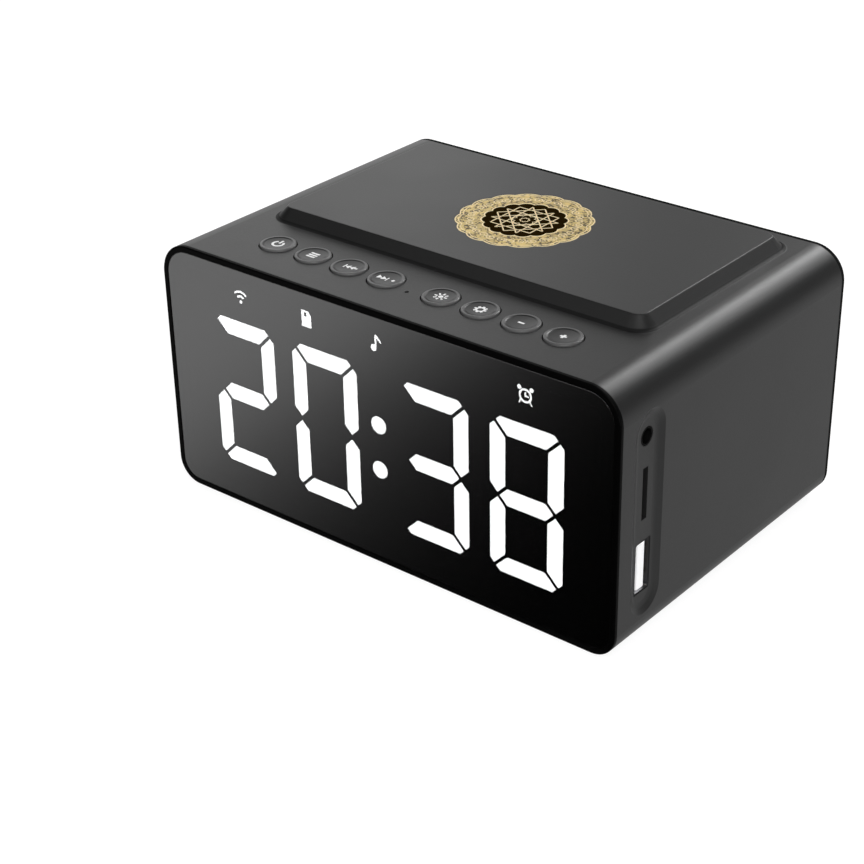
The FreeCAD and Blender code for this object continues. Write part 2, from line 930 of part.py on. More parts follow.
# A single note with its flag.
def note_icon(x, z, near, far):
    half = icon_span / 2
    high = z + half
    head_height = z - half + note_head_radius
    head = rod_y(note_head_radius, x - note_head_shift, head_height, near, far)
    staff = block(x - note_staff_left, x + note_staff_right, near, far, head_height, high)
    flag_low = high - note_flag_drop
    flag = [(x + note_staff_right, high), (x + note_flag_reach, flag_low),
            (x + note_flag_reach, flag_low - note_flag_thickness),
            (x + note_staff_right, high - note_flag_thickness)]
    return [join(head, [staff, flat_polygon(flag, near, far)])]


# An alarm clock: ring, two hands, two legs and two bells.
def alarm_icon(x, z, near, far):
    ring = rod_y(alarm_ring_radius, x, z, near, far)
    ring = ring.cut(rod_y(alarm_ring_radius - icon_stroke, x, z, near, far))
    half = alarm_hand_half_width
    hand_up = block(x - half, x + half, near, far, z - alarm_hand_drop, z + alarm_hand_reach)
    hand_side = block(x - half, x + alarm_hand_reach, near, far,
                      z - alarm_hand_drop, z - alarm_hand_drop + alarm_leg_width)
    solids = [join(hand_up, [hand_side])]
    legs = []
    for side in (-1, 1):
        leg = [(x + side * alarm_leg_top, z - alarm_leg_high),
               (x + side * (alarm_leg_top + alarm_leg_width), z - alarm_leg_high),
               (x + side * (alarm_leg_bottom + alarm_leg_width), z - alarm_leg_low),
               (x + side * alarm_leg_bottom, z - alarm_leg_low)]
        legs.append(flat_polygon(leg, near, far))
        solids.append(rod_y(alarm_bell_radius, x + side * alarm_bell_reach, z + alarm_bell_rise, near, far))
    solids.append(join(ring, legs))
    return solids


def icon_solids(near, far):
    z = up(icon_height)
    solids = []
    for icon, x in zip((waves_icon, card_icon, note_icon, alarm_icon), icon_centres):
        solids.extend(icon(x, z, near, far))
    return solids


def icon_windows(near, far):
    half = icon_span / 2 + icon_window_margin
    return [block(x - half, x + half, near, far, up(icon_height) - half, up(icon_height) + half)
            for x in icon_centres]


def led_boxes():
    leds = []
    near = reflector_back - led_height
    for centre in digit_centres:
        low = up(digit_low)
        inner = digit_stroke / 2
        for z in (low + inner, low + digit_height / 2, low + digit_height - inner):
            for x in (centre - led_offset, centre + led_offset):
                leds.append(block(x - led_length / 2, x + led_length / 2, near, reflector_back,
                                  z - led_width / 2, z + led_width / 2))
        for x in (centre - digit_width / 2 + inner, centre + digit_width / 2 - inner):
            for quarter in (0.25, 0.75):
                for shift in (-led_offset, led_offset):
                    z = low + digit_height * quarter + shift
                    leds.append(block(x - led_width / 2, x + led_width / 2, near, reflector_back,
                                      z - led_length / 2, z + led_length / 2))
    places = [(0, up(height)) for height in colon_heights]
    places += [(x, up(icon_height)) for x in icon_centres]
    for x, z in places:
        leds.append(block(x - led_length / 2, x + led_length / 2, near, reflector_back,
                          z - led_width / 2, z + led_width / 2))
    return leds


def display():
    lit, unlit = all_segments(mask_front, mask_front + segment_thickness)
    icons = icon_solids(mask_front, mask_back)
    save("digit_segments_lit", Part.makeCompound(lit))
    save("digit_segments_unlit", Part.makeCompound(unlit))
    save("indicator_icons", Part.makeCompound(icons))
    mask = ledge_prism(ledge_inset + mask_clearance, mask_front, mask_back)
    save("display_mask", mask.cut(lit + unlit + icons))
    reflector = block(-reflector_half_width, reflector_half_width, mask_back, reflector_back,
                      up(reflector_low), up(reflector_high))
    wells = all_segments(mask_back, reflector_back)
    reflector = reflector.cut(wells[0] + wells[1] + icon_windows(mask_back, reflector_back))
    save("reflector_block", reflector)
    board_back = reflector_back + display_board_thickness
    board = front_prism(display_board_half_width, up(display_board_low), up(display_board_high),
                        board_corner_radius, board_corner_radius, reflector_back, board_back)
    holes = [rod_y(screw_hole_radius, x, z, reflector_back, board_back) for x, z in bezel_places()]
    save("display_board", board.cut(holes))
    save("display_leds", Part.makeCompound(led_boxes()))
    save("display_driver_chip", chip_on_wall(driver_chip_x, up(driver_chip_height), board_back,
                                             driver_chip_length, driver_chip_breadth,
                                             driver_chip_thickness, driver_chip_legs))
    infrared_receiver()


def infrared_receiver():
    right = -reflector_half_width - receiver_side_gap
    left = right - receiver_width
    low = up(receiver_middle) - receiver_height / 2
    body = block(left, right, receiver_front, reflector_back, low, low + receiver_height)
    centre = vec((left + right) / 2, back(receiver_front), up(receiver_middle))
    dome = Part.makeSphere(receiver_dome_radius, centre)
    dome = dome.common(block(left, right, receiver_front - receiver_dome_trim, reflector_back,
                             low, low + receiver_height))
    save("infrared_receiver", join(body, [dome]))


# A packaged chip with a row of legs on each long side, on a wall that faces backwards.
def chip_on_wall(x, z, near, length, breadth, height, legs):
    far = near + height
    body = block(x - length / 2, x + length / 2, near + chip_standoff, far,
                 z - breadth / 2, z + breadth / 2)
    pitch = length / legs
    pins = []
    for index in range(legs):
        left = x - length / 2 + pitch * (index + chip_leg_start)
        right = left + pitch * chip_leg_width
        for side in (-1, 1):
            low = z + side * (breadth / 2 + chip_leg_offset) - chip_leg_length / 2
            pins.append(block(left, right, near, near + chip_leg_height, low, low + chip_leg_length))
    return join(body, pins)


# The same chip lying on a board that faces upwards, or hanging under one.
def chip_on_floor(x, distance, z, length, breadth, height, legs, way):
    low, high = sorted((z + way * chip_standoff, z + way * height))
    body = block(x - length / 2, x + length / 2, distance - breadth / 2, distance + breadth / 2, low, high)
    pitch = length / legs
    pin_low, pin_high = sorted((z, z + way * chip_leg_height))
    pins = []
    for index in range(legs):
        left = x - length / 2 + pitch * (index + chip_leg_start)
        right = left + pitch * chip_leg_width
        for side in (-1, 1):
            near = distance + side * (breadth / 2 + chip_leg_offset) - chip_leg_length / 2
            pins.append(block(left, right, near, near + chip_leg_length, pin_low, pin_high))
    return join(body, pins)


button_names = ("power", "menu", "previous", "next", "light", "settings", "minus", "plus")


def button_cap(x):
    cap_top = body_high + button_proud
    flange_high = cavity_high - button_flange_gap
    flange_low = flange_high - button_flange_thickness
    crown = rod_z(button_cap_radius, x, button_depth, flange_low, cap_top)
    rim = [edge for edge in crown.Edges if edge.BoundBox.ZMin > cap_top - 0.001]
    crown = crown.makeFillet(button_edge_fillet, rim)
    ball_radius = (button_dish_radius ** 2 + button_dish ** 2) / (2 * button_dish)
    ball = Part.makeSphere(ball_radius, vec(x, back(button_depth), cap_top - button_dish + ball_radius))
    crown = crown.cut(ball)
    flange = rod_z(button_flange_radius, x, button_depth, flange_low, flange_high)
    switch_top = up(key_board_top) + switch_height
    stem_top = switch_top + switch_stem_above
    post = rod_z(button_post_radius, x, button_depth, stem_top, flange_low)
    stem = rod_z(switch_stem_radius, x, button_depth, switch_top - switch_stem_below, stem_top)
    return join(crown, [flange, post, stem])


def buttons():
    board_top = up(key_board_top)
    switch_top = board_top + switch_height
    half = switch_size / 2
    switches = []
    for name, x in zip(button_names, button_places()):
        save("button_" + name, button_cap(x))
        body = block(x - half, x + half, button_depth - half, button_depth + half, board_top, switch_top)
        bore = rod_z(switch_stem_radius + switch_stem_clearance, x, button_depth,
                     switch_top - switch_bore_depth, switch_top)
        switches.append(body.cut(bore))
    save("tact_switches", Part.makeCompound(switches))
    board_low = board_top - key_board_thickness
    board = block(-key_board_half_width, key_board_half_width, key_board_near, key_board_far,
                  board_low, board_top)
    holes = [rod_z(screw_radius, x, key_post_depth, board_low, board_top) for x in key_post_centres]
    save("key_board", board.cut(holes))
    capsule_top = cavity_high - mic_boot_roof
    boot = rod_z(mic_boot_radius, 0, mic_depth, board_top, cavity_high)
    boot = boot.cut([rod_z(mic_capsule_radius, 0, mic_depth, board_top, capsule_top),
                     rod_z(mic_hole_radius, 0, mic_depth, capsule_top, cavity_high)])
    save("microphone_boot", boot)
    save("microphone_capsule", rod_z(mic_capsule_radius, 0, mic_depth,
                                     capsule_top - mic_capsule_height, capsule_top))


# Four legs that stand a socket on the port board, near the corners of its footprint.
def port_legs(x0, length, z, breadth, near):
    legs = []
    half = port_leg_width / 2
    for x in (x0 + port_leg_inset, x0 + length - port_leg_inset):
        for side in (-1, 1):
            middle = z + side * (breadth / 2 - port_leg_inset)
            legs.append(block(x - half, x + half, near, port_board_near, middle - half, middle + half))
    return legs


def usb_port():
    mouth = recess_floor_x - usb_setback
    rear = mouth - usb_length
    shell = usb_prism(0, rear, mouth)
    legs = port_legs(rear, pad_inner_x - rear, up(usb_height), usb_width,
                     recess_centre_depth + usb_thickness / 2 - usb_sheet)
    shell = join(shell, legs).cut(usb_prism(-usb_sheet, rear + usb_sheet, mouth))
    save("usb_shell", shell)
    y = back(recess_centre_depth + tongue_centre_shift)
    z = up(usb_height)
    inner_y = usb_thickness - 2 * usb_sheet
    inner_z = usb_width - 2 * usb_sheet
    root_x = rear + usb_sheet
    root = Part.makeBox(tongue_root, inner_y, inner_z,
                        vec(root_x, back(recess_centre_depth) - inner_y / 2, z - inner_z / 2))
    root = root.common(usb_prism(-usb_sheet, root_x, root_x + tongue_root))
    tongue = Part.makeBox(mouth - tongue_setback - root_x, tongue_thickness, tongue_width,
                          vec(root_x, y - tongue_thickness / 2, z - tongue_width / 2))
    contacts = []
    face = y + tongue_thickness / 2
    contact_x = mouth - tongue_setback - usb_contact_start - usb_contact_length
    for index in range(usb_contact_count):
        offset = (index - (usb_contact_count - 1) / 2) * usb_contact_pitch
        corner = vec(contact_x, face, z + offset - usb_contact_width / 2)
        contacts.append(Part.makeBox(usb_contact_length, usb_contact_thickness, usb_contact_width, corner))
    save("usb_tongue", join(root, [tongue]))
    save("usb_contacts", Part.makeCompound(contacts))


def ports():
    usb_port()
    y = back(recess_centre_depth)
    jack_z = up(jack_height)
    body = Part.makeBox(jack_body_length, jack_body_thickness, jack_body_width,
                        vec(pad_inner_x - jack_body_length, y - jack_body_thickness / 2,
                            jack_z - jack_body_width / 2))
    nozzle = rod_x(jack_nozzle_radius, pad_inner_x, recess_floor_x, recess_centre_depth, jack_z)
    bore = rod_x(jack_bore_radius, recess_floor_x - jack_bore_length, recess_floor_x,
                 recess_centre_depth, jack_z)
    legs = port_legs(pad_inner_x - jack_body_length, jack_body_length, jack_z, jack_body_width,
                     recess_centre_depth + jack_body_thickness / 2 - port_leg_root)
    save("audio_jack", join(body, [nozzle] + legs).cut(bore))
    half_thickness = card_socket_thickness / 2
    half_socket = card_socket_width / 2
    card_z = up(card_height)
    left = pad_inner_x - card_socket_length
    socket = block(left, pad_inner_x, recess_centre_depth - half_thickness,
                   recess_centre_depth + half_thickness, card_z - half_socket, card_z + half_socket)
    sheet = card_socket_sheet
    hollow = block(left + sheet, pad_inner_x, recess_centre_depth - half_thickness + sheet,
                   recess_centre_depth + half_thickness - sheet,
                   card_z - half_socket + sheet, card_z + half_socket - sheet)
    margin = card_base_margin
    base = block(left + margin, pad_inner_x - margin, recess_centre_depth + half_thickness, port_board_near,
                 card_z - half_socket + margin, card_z + half_socket - margin)
    save("card_socket", join(socket.cut(hollow), [base]))
    board = block(port_board_left, port_board_right, port_board_near, port_board_near + port_board_thickness,
                  up(port_board_low), up(port_board_high))
    save("port_board", board)


def medallion():
    high = plateau_top - medallion_setback
    low = high - medallion_thickness
    ring = medallion_prism(0, medallion_radius, low, high)
    disc = medallion_prism(0, medallion_inner_radius, low, high)
    save("medallion_ring", ring.cut(disc))
    save("medallion_disc", disc)


def charger():
    y = medallion_centre_depth
    coil_low = ceiling - coil_thickness
    coil = rod_z(coil_outer_radius, 0, y, coil_low, ceiling)
    save("charging_coil", coil.cut(rod_z(coil_inner_radius, 0, y, coil_low, ceiling)))
    half = ferrite_width / 2
    half_length = ferrite_length / 2
    save("ferrite_sheet", block(-half, half, y - half_length, y + half_length,
                                coil_low - ferrite_thickness, coil_low))
    high = up(charger_board_top)
    low = high - charger_board_thickness
    half_length = charger_board_length / 2
    board = block(-charger_board_half_width, charger_board_half_width,
                  y - half_length, y + half_length, low, high)
    holes = [rod_z(screw_radius, x, distance, low, high) for x, distance in charger_places()]
    save("charger_board", board.cut(holes))
    chips = [
        chip_on_floor(controller_x, y - charger_chip_forward, low, controller_length, controller_breadth,
                      controller_thickness, controller_legs, -1),
        chip_on_floor(bridge_x, y - charger_chip_forward, low, bridge_length, bridge_breadth,
                      bridge_thickness, bridge_legs, -1),
    ]
    half_inductor = inductor_size / 2
    far_row = y + inductor_backward
    chips.append(block(inductor_x - half_inductor, inductor_x + half_inductor, far_row - half_inductor,
                       far_row + half_inductor, low - inductor_thickness, low))
    half_film = film_capacitor_length / 2
    half_breadth = film_capacitor_breadth / 2
    chips.append(block(film_capacitor_x - half_film, film_capacitor_x + half_film,
                       far_row - half_breadth, far_row + half_breadth, low - film_capacitor_thickness, low))
    save("charger_components", Part.makeCompound(chips))


def main_board():
    low = up(main_board_low)
    high = low + main_board_thickness
    board = block(-main_board_half_width, main_board_half_width, main_board_near, main_board_far, low, high)
    holes = [rod_z(screw_radius, x, distance, low, high) for x, distance in main_places()]
    save("main_board", board.cut(holes))
    near = main_board_near
    chips = [
        chip_on_floor(processor_x, near + processor_from_near, high, processor_length, processor_breadth,
                      processor_thickness, processor_legs, 1),
        chip_on_floor(amplifier_x, near + amplifier_from_near, high, amplifier_length, amplifier_breadth,
                      amplifier_thickness, amplifier_legs, 1),
        chip_on_floor(clock_chip_x, near + clock_chip_from_near, high, clock_chip_length,
                      clock_chip_breadth, amplifier_thickness, amplifier_legs, 1),
    ]
    save("main_board_chips", Part.makeCompound(chips))
    cans = []
    for x, from_near in capacitor_places:
        distance = near + from_near
        can = rod_z(capacitor_radius, x, distance, high, high + capacitor_height)
        groove = rod_z(capacitor_radius, x, distance, high + capacitor_groove_low,
                       high + capacitor_groove_high)
        core = rod_z(capacitor_radius - capacitor_groove_depth, x, distance, high, high + capacitor_height)
        cans.append(can.cut(groove.cut(core)))
    save("capacitors", Part.makeCompound(cans))


def battery():
    wall_x = -half_width + wall
    left = wall_x + battery_pad_thickness
    pack = block(left, left + battery_thickness, battery_near, battery_near + battery_length,
                 up(battery_low), up(battery_low) + battery_width)
    long_edges = [edge for edge in pack.Edges if edge.BoundBox.YLength > battery_length - 0.001]
    pack = pack.makeFillet(battery_fold, long_edges)
    save("battery_pack", pack)
    margin = battery_pad_margin
    save("battery_adhesive_pad", block(wall_x, left, battery_near + margin,
                                       battery_near + battery_length - margin,
                                       up(battery_low) + margin, up(battery_low) + battery_width - margin))


# A solid of revolution about the loudspeaker's axis. Each point is a radius and a depth.
def spun(points):
    z = up(speaker_height)
    corners = [vec(radius, back(distance), z) for radius, distance in points]
    face = Part.Face(Part.makePolygon(corners + corners[:1]))
    return face.revolve(vec(0, 0, z), vec(0, 1, 0), 360)


def ring_y(outer, inner, near, far):
    z = up(speaker_height)
    return rod_y(outer, 0, z, near, far).cut(rod_y(inner, 0, z, near, far))


def loudspeaker():
    z = up(speaker_height)
    face = cover_inner - cloth_thickness
    flange = face - speaker_flange_thickness
    rear = face - speaker_depth
    plate = speaker_plate_thickness
    magnet_near = rear + plate
    magnet_far = magnet_near + speaker_magnet_thickness
    plate_far = magnet_far + plate
    sheet = speaker_basket_sheet
    seat = plate_far + sheet
    opening = speaker_surround_radius
    drum = face - speaker_drum_depth
    foot_outer = speaker_magnet_radius - speaker_foot_inset
    foot_inner = speaker_gap_radius + speaker_foot_lip
    basket = spun([(foot_inner, plate_far), (foot_outer, plate_far), (opening + sheet, drum),
                   (opening + sheet, flange), (speaker_flange_radius, flange),
                   (speaker_flange_radius, face), (opening, face), (opening, drum + sheet),
                   (foot_outer - sheet, seat), (foot_inner, seat)])
    windows = []
    for quarter in range(4):
        window = Part.makeBox(speaker_window, drum - seat - sheet, 2 * opening,
                              vec(-speaker_window / 2, back(seat + sheet), 0))
        window.rotate(vec(0, 0, 0), vec(0, 1, 0), 45 + 90 * quarter)
        window.translate(vec(0, 0, z))
        windows.append(window)
    save("speaker_basket", basket.cut(windows))
    save("speaker_magnet", ring_y(speaker_magnet_radius, speaker_magnet_hole, magnet_near, magnet_far))
    save("speaker_top_plate", ring_y(speaker_magnet_radius - speaker_top_plate_inset, speaker_gap_radius,
                                      magnet_far, plate_far))
    pole = rod_y(speaker_magnet_radius - speaker_pole_plate_inset, 0, z, rear, magnet_near)
    save("speaker_pole_piece", join(pole, [rod_y(speaker_pole_radius, 0, z, magnet_near, plate_far)]))
    cone_edge = face - speaker_cone_setback + speaker_surround_sheet
    cone_neck = cone_edge - speaker_cone_drop
    coil_outer = speaker_coil_radius + speaker_coil_wall
    thick = speaker_cone_sheet
    cap = coil_outer + speaker_cap_margin
    seam = speaker_neck_seam
    cap_top = speaker_cap_rise
    slope = speaker_cone_drop / (speaker_cone_radius - coil_outer)
    cap_depth = cone_neck + slope * (cap - coil_outer)
    cone = spun([(coil_outer, cone_neck), (speaker_cone_radius, cone_edge),
                 (speaker_cone_radius, cone_edge + thick), (cap, cap_depth + thick),
                 (0, cap_depth + thick + cap_top), (0, cap_depth + cap_top), (cap, cap_depth + seam),
                 (coil_outer, cone_neck + seam)])
    save("speaker_cone", cone)
    save("voice_coil", ring_y(coil_outer, speaker_coil_radius, magnet_far - speaker_coil_dip, cone_neck))
    roll = (speaker_surround_radius - speaker_cone_radius) / 2
    middle = speaker_cone_radius + roll
    rim = cone_edge + thick
    torus = Part.makeTorus(middle, roll, vec(0, back(rim), z), vec(0, 1, 0))
    hollow = Part.makeTorus(middle, roll - speaker_surround_sheet, vec(0, back(rim), z), vec(0, 1, 0))
    band = ring_y(speaker_surround_radius, speaker_cone_radius, rim, rim + roll)
    save("speaker_surround", torus.cut(hollow).common(band))
    cloth_radius = speaker_flange_radius - cloth_inset
    save("speaker_dust_cloth", rod_y(cloth_radius, 0, z, face, cover_inner))


def grille_holes():
    holes = []
    row_step = grille_pitch * math.sqrt(3) / 2
    rows = int(grille_radius / row_step)
    columns = int(grille_radius / grille_pitch) + 1
    for row in range(-rows, rows + 1):
        shift = grille_pitch / 2 if row % 2 else 0
        for column in range(-columns, columns + 1):
            x = column * grille_pitch + shift
            z = row * row_step
            if math.hypot(x, z) <= grille_radius:
                holes.append(rod_y(grille_hole_radius, x, up(speaker_height) + z, cover_inner, depth))
    return holes


def inlet_prism(grow, near, far):
    half = inlet_width / 2 + grow
    half_thick = inlet_thickness / 2 + grow
    radius = half_thick - 0.05
    z = up(inlet_height)
    shape = front_prism(half, z - half_thick, z + half_thick, radius, radius, near, far)
    shape.translate(vec(inlet_x, 0, 0))
    return shape


def rear_cover():
    cover = body_prism(0, depth - cover_band, depth)
    rim = [edge for edge in cover.Edges if edge.BoundBox.YMin > depth / 2 - 0.001]
    cover = cover.makeFillet(cover_edge_fillet, rim)
    plug = body_prism(wall + cover_fit, cover_inner, depth - cover_band)
    lip_near = cover_inner - cover_lip_length
    lip = body_prism(wall + cover_fit, lip_near, cover_inner)
    lip = lip.cut(body_prism(wall + cover_fit + cover_lip, lip_near, cover_inner))
    ring_inner = speaker_flange_radius + speaker_ring_clearance
    ring = ring_y(ring_inner + speaker_ring_wall, ring_inner, cover_inner - speaker_ring_length, cover_inner)
    cover = join(cover, [plug, lip, ring])
    holes = []
    head_depth = cover_screw_sink
    for x, z in cover_places():
        holes.append(rod_y(screw_hole_radius, x, z, cover_inner, depth))
        holes.append(rod_y(screw_head_radius + cover_head_clearance, x, z, depth - head_depth, depth))
    holes.append(inlet_prism(inlet_clearance, cover_inner, depth))
    save("rear_cover", cover.cut(holes).cut(grille_holes()))
    seat = depth - head_depth
    length = seat - cover_inner + cover_screw_bite
    screws = [screw(vec(x, back(seat), z), vec(0, -1, 0), length) for x, z in cover_places()]
    save("rear_cover_screws", Part.makeCompound(screws))


def power_inlet():
    far = depth - inlet_setback
    near = far - inlet_length
    shell = inlet_prism(0, near, far).cut(inlet_prism(-inlet_sheet, near + inlet_sheet, far))
    save("power_inlet_shell", shell)
    half = inlet_tongue_width / 2
    half_thick = inlet_tongue_thickness / 2
    z = up(inlet_height)
    save("power_inlet_tongue", block(inlet_x - half, inlet_x + half, near + inlet_sheet,
                                     far - inlet_tongue_setback, z - half_thick, z + half_thick))
    high = power_board_top()
    low = high - power_board_thickness
    board = block(inlet_x - power_board_half_width, inlet_x + power_board_half_width,
                  cover_inner - power_board_back_gap - power_board_length,
                  cover_inner - power_board_back_gap, low, high)
    holes = [rod_z(screw_radius, x, distance, low, high) for x, distance in power_places()]
    save("power_board", board.cut(holes))


def feet():
    pads = []
    for x, distance in foot_places():
        pad = rod_z(foot_radius, x, distance, 0, body_low + foot_pocket)
        rim = [edge for edge in pad.Edges if edge.BoundBox.ZMax < 0.001]
        pads.append(pad.makeChamfer(foot_edge, rim))
    save("feet", Part.makeCompound(pads))


def inner_screws():
    seat = reflector_back + display_board_thickness + ear_thickness
    length = seat - ledge_front - bezel_screw_end
    screws = [screw(vec(x, back(seat), z), vec(0, -1, 0), length) for x, z in bezel_places()]
    save("bezel_screws", Part.makeCompound(screws))
    seats = []
    for x in key_post_centres:
        seats.append((x, key_post_depth, up(key_board_top) - key_board_thickness, 1))
    for x, distance in charger_places():
        seats.append((x, distance, up(charger_board_top) - charger_board_thickness, 1))
    for x, distance in main_places():
        seats.append((x, distance, up(main_board_low) + main_board_thickness, -1))
    for x, distance in power_places():
        seats.append((x, distance, power_board_top(), -1))
    screws = [screw(vec(x, back(distance), z), vec(0, 0, way), board_screw_length)
              for x, distance, z, way in seats]
    save("board_screws", Part.makeCompound(screws))


# The corners of a lead that leaves a face along a direction, sags, and comes down on the
# main board.
def lead_corners(start, out, end_x, end_depth):
    end = vec(end_x, back(end_depth), up(main_board_low) + main_board_thickness)
    leave = start + out * lead_stub
    arrive = end + vec(0, 0, lead_stub)
    middle = (leave + arrive) * 0.5 - vec(0, 0, lead_sag)
    return [start, leave, middle, arrive, end]


# A round tube along straight runs and tangent arcs.
def lead(points):
    edges = []
    reached = points[0]
    radii = []
    for index in range(1, len(points) - 1):
        corner = points[index]
        before = points[index - 1] - corner
        after = points[index + 1] - corner
        reach = lead_bend_share * min(before.Length, after.Length)
        half_angle = before.getAngle(after) / 2
        radius = reach * math.tan(half_angle)
        radii.append(round(radius, 1))
        before = before.normalize()
        after = after.normalize()
        middle = corner + (before + after).normalize() * (radius / math.sin(half_angle) - radius)
        entry = corner + before * reach
        leave = corner + after * reach
        edges.append(Part.makeLine(reached, entry))
        edges.append(Part.Arc(entry, middle, leave).toShape())
        reached = leave
    edges.append(Part.makeLine(reached, points[-1]))
    path = Part.Wire(edges)
    section = Part.Wire(Part.Circle(points[0], points[1] - points[0], lead_radius).toShape())
    tube = path.makePipeShell([section], True, False)
    expected = path.Length * math.pi * lead_radius ** 2
    print("bend radii", radii, "volume", round(tube.Volume, 2), "expected", round(expected, 2))
    return tube


# One lead each from the display, the keys, the ports, the coil board, the battery, the
# loudspeaker and the power inlet.
def leads():
    near = main_board_near + lead_end_inset
    far = main_board_far - lead_end_inset
    backward = vec(0, 1, 0)
    forward = vec(0, -1, 0)
    down = vec(0, 0, -1)
    column = -lead_column
    key_end_x = key_lead_x - key_lead_shift
    key_y = back(key_board_near + lead_stub)
    key_z = up(key_board_top) - key_board_thickness
    port_x = port_board_left + port_lead_from_left
    port_end = near + lead_end_inset + lead_radius
    coil_depth = medallion_centre_depth + charger_board_length / 2 - coil_lead_inset
    battery_x = -half_width + wall + battery_pad_thickness + battery_thickness
    battery_depth = battery_near + battery_length - battery_lead_inset
    terminal = speaker_lead_radius * math.sqrt(0.5)
    flange = cover_inner - cloth_thickness - speaker_flange_thickness
    power_depth = cover_inner - power_board_back_gap - power_board_length
    power_middle = power_board_top() - power_board_thickness / 2
    routes = [
        lead_corners(vec(column, back(reflector_back + display_board_thickness), up(display_lead_height)),
                     backward, column, near),
        lead_corners(vec(key_lead_x, key_y, key_z), down, key_end_x, port_end),
        lead_corners(vec(port_x, back(port_board_near + port_board_thickness), up(port_lead_height)),
                     backward, port_lead_end_x, port_end),
        lead_corners(vec(coil_lead_x, back(coil_depth), up(charger_board_top) - charger_board_thickness),
                     down, coil_lead_x, far),
        lead_corners(vec(battery_x, back(battery_depth), up(battery_low + battery_width / 2)),
                     vec(1, 0, 0), battery_lead_end_x, far - 2 * lead_end_inset),
        lead_corners(vec(-terminal, back(flange), up(speaker_height) - terminal), forward, column, far),
        lead_corners(vec(power_lead_x, back(power_depth), power_middle), forward, power_lead_x, far),
    ]
    save("internal_leads", Part.makeCompound([lead(corners) for corners in routes]))


housing()
bezel()
display()
buttons()
ports()
medallion()
charger()
main_board()
battery()
loudspeaker()
rear_cover()
power_inlet()
feet()
inner_screws()
leads()
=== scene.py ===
import bmesh
import bpy
import math
from mathutils import Matrix, Vector


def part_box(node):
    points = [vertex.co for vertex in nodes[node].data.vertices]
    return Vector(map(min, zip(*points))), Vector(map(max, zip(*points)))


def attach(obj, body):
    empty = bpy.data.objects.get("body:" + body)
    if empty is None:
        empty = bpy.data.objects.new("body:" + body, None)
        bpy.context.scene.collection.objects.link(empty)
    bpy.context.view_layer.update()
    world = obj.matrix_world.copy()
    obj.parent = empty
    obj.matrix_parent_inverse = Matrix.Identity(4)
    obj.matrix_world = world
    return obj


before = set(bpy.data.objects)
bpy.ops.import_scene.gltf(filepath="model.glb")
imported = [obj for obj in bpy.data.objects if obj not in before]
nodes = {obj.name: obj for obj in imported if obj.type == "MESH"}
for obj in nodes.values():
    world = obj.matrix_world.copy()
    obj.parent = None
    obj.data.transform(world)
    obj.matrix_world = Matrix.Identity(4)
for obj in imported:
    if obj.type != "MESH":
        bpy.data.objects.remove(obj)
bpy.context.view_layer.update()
scene = bpy.context.scene
scene.view_settings.view_transform = "Standard"
print("stage: packed parts loaded,", len(nodes), "nodes")


# One output of a node. Its operators add Math nodes, so sums read as sums.
class Wire:
    def __init__(self, graph, socket):
        self.graph = graph
        self.socket = socket

    def calc(self, operation, *others):
        return self.graph.maths(operation, self, *others)

    def __add__(self, other):
        return self.calc("ADD", other)

    def __radd__(self, other):
        return self.calc("ADD", other)

    def __sub__(self, other):
        return self.calc("SUBTRACT", other)

    def __rsub__(self, other):
        return self.graph.maths("SUBTRACT", other, self)

    def __mul__(self, other):
        return self.calc("MULTIPLY", other)

    def __truediv__(self, other):
        return self.calc("DIVIDE", other)

    def __rtruediv__(self, other):
        return self.graph.maths("DIVIDE", other, self)

    # 0 below low and 1 above high, or the other way round, with a soft step between.
    def within(self, low, high):
        return self.graph.node("ShaderNodeMapRange", {"interpolation_type": "SMOOTHSTEP"},
                               {"Value": self, "From Min": low, "From Max": high})


# A node tree of any kind. Sockets are given by name or by number.
class Graph:
    def __init__(self, tree):
        self.tree = tree

    # Links a wire, or each wire of a list, or sets a plain value.
    def feed(self, socket, value):
        if isinstance(value, list):
            for wire in value:
                self.tree.links.new(wire.socket, socket)
        elif isinstance(value, Wire):
            self.tree.links.new(value.socket, socket)
        else:
            socket.default_value = value

    def node(self, kind, settings=None, inputs=None, output=0):
        made = self.tree.nodes.new(kind)
        for name, value in (settings or {}).items():
            setattr(made, name, value)
        for name, value in (inputs or {}).items():
            self.feed(made.inputs[name], value)
        return Wire(self, made.outputs[output])

    def maths(self, operation, *values):
        return self.node("ShaderNodeMath", {"operation": operation}, dict(enumerate(values)))

    def mix(self, factor, first, second):
        inputs = {0: factor, 6: first, 7: second}
        return self.node("ShaderNodeMix", {"data_type": "RGBA"}, inputs, 2)

    def axes(self, vector):
        return [self.node("ShaderNodeSeparateXYZ", None, {0: vector}, axis) for axis in range(3)]

    def vector(self, x, y, z):
        return self.node("ShaderNodeCombineXYZ", None, {0: x, 1: y, 2: z})

    def noise(self, place, size, detail=2.0, rough=0.5):
        inputs = {"Vector": place, "Scale": 1.0 / size, "Detail": detail, "Roughness": rough}
        return self.node("ShaderNodeTexNoise", None, inputs)

    # 1 on light paths of one kind, such as Camera or Glossy.
    def ray(self, kind):
        return self.node("ShaderNodeLightPath", None, None, "Is " + kind + " Ray")


def middleOf(node):
    low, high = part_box(node)
    return [(low[axis] + high[axis]) / 2 for axis in range(3)]


def grey(level, warm=0.0):
    return (level * (1 + warm), level, level * (1 - warm), 1.0)


def shade(colour, share):
    return tuple(min(part * share, 1.0) for part in colour[:3]) + (1.0,)


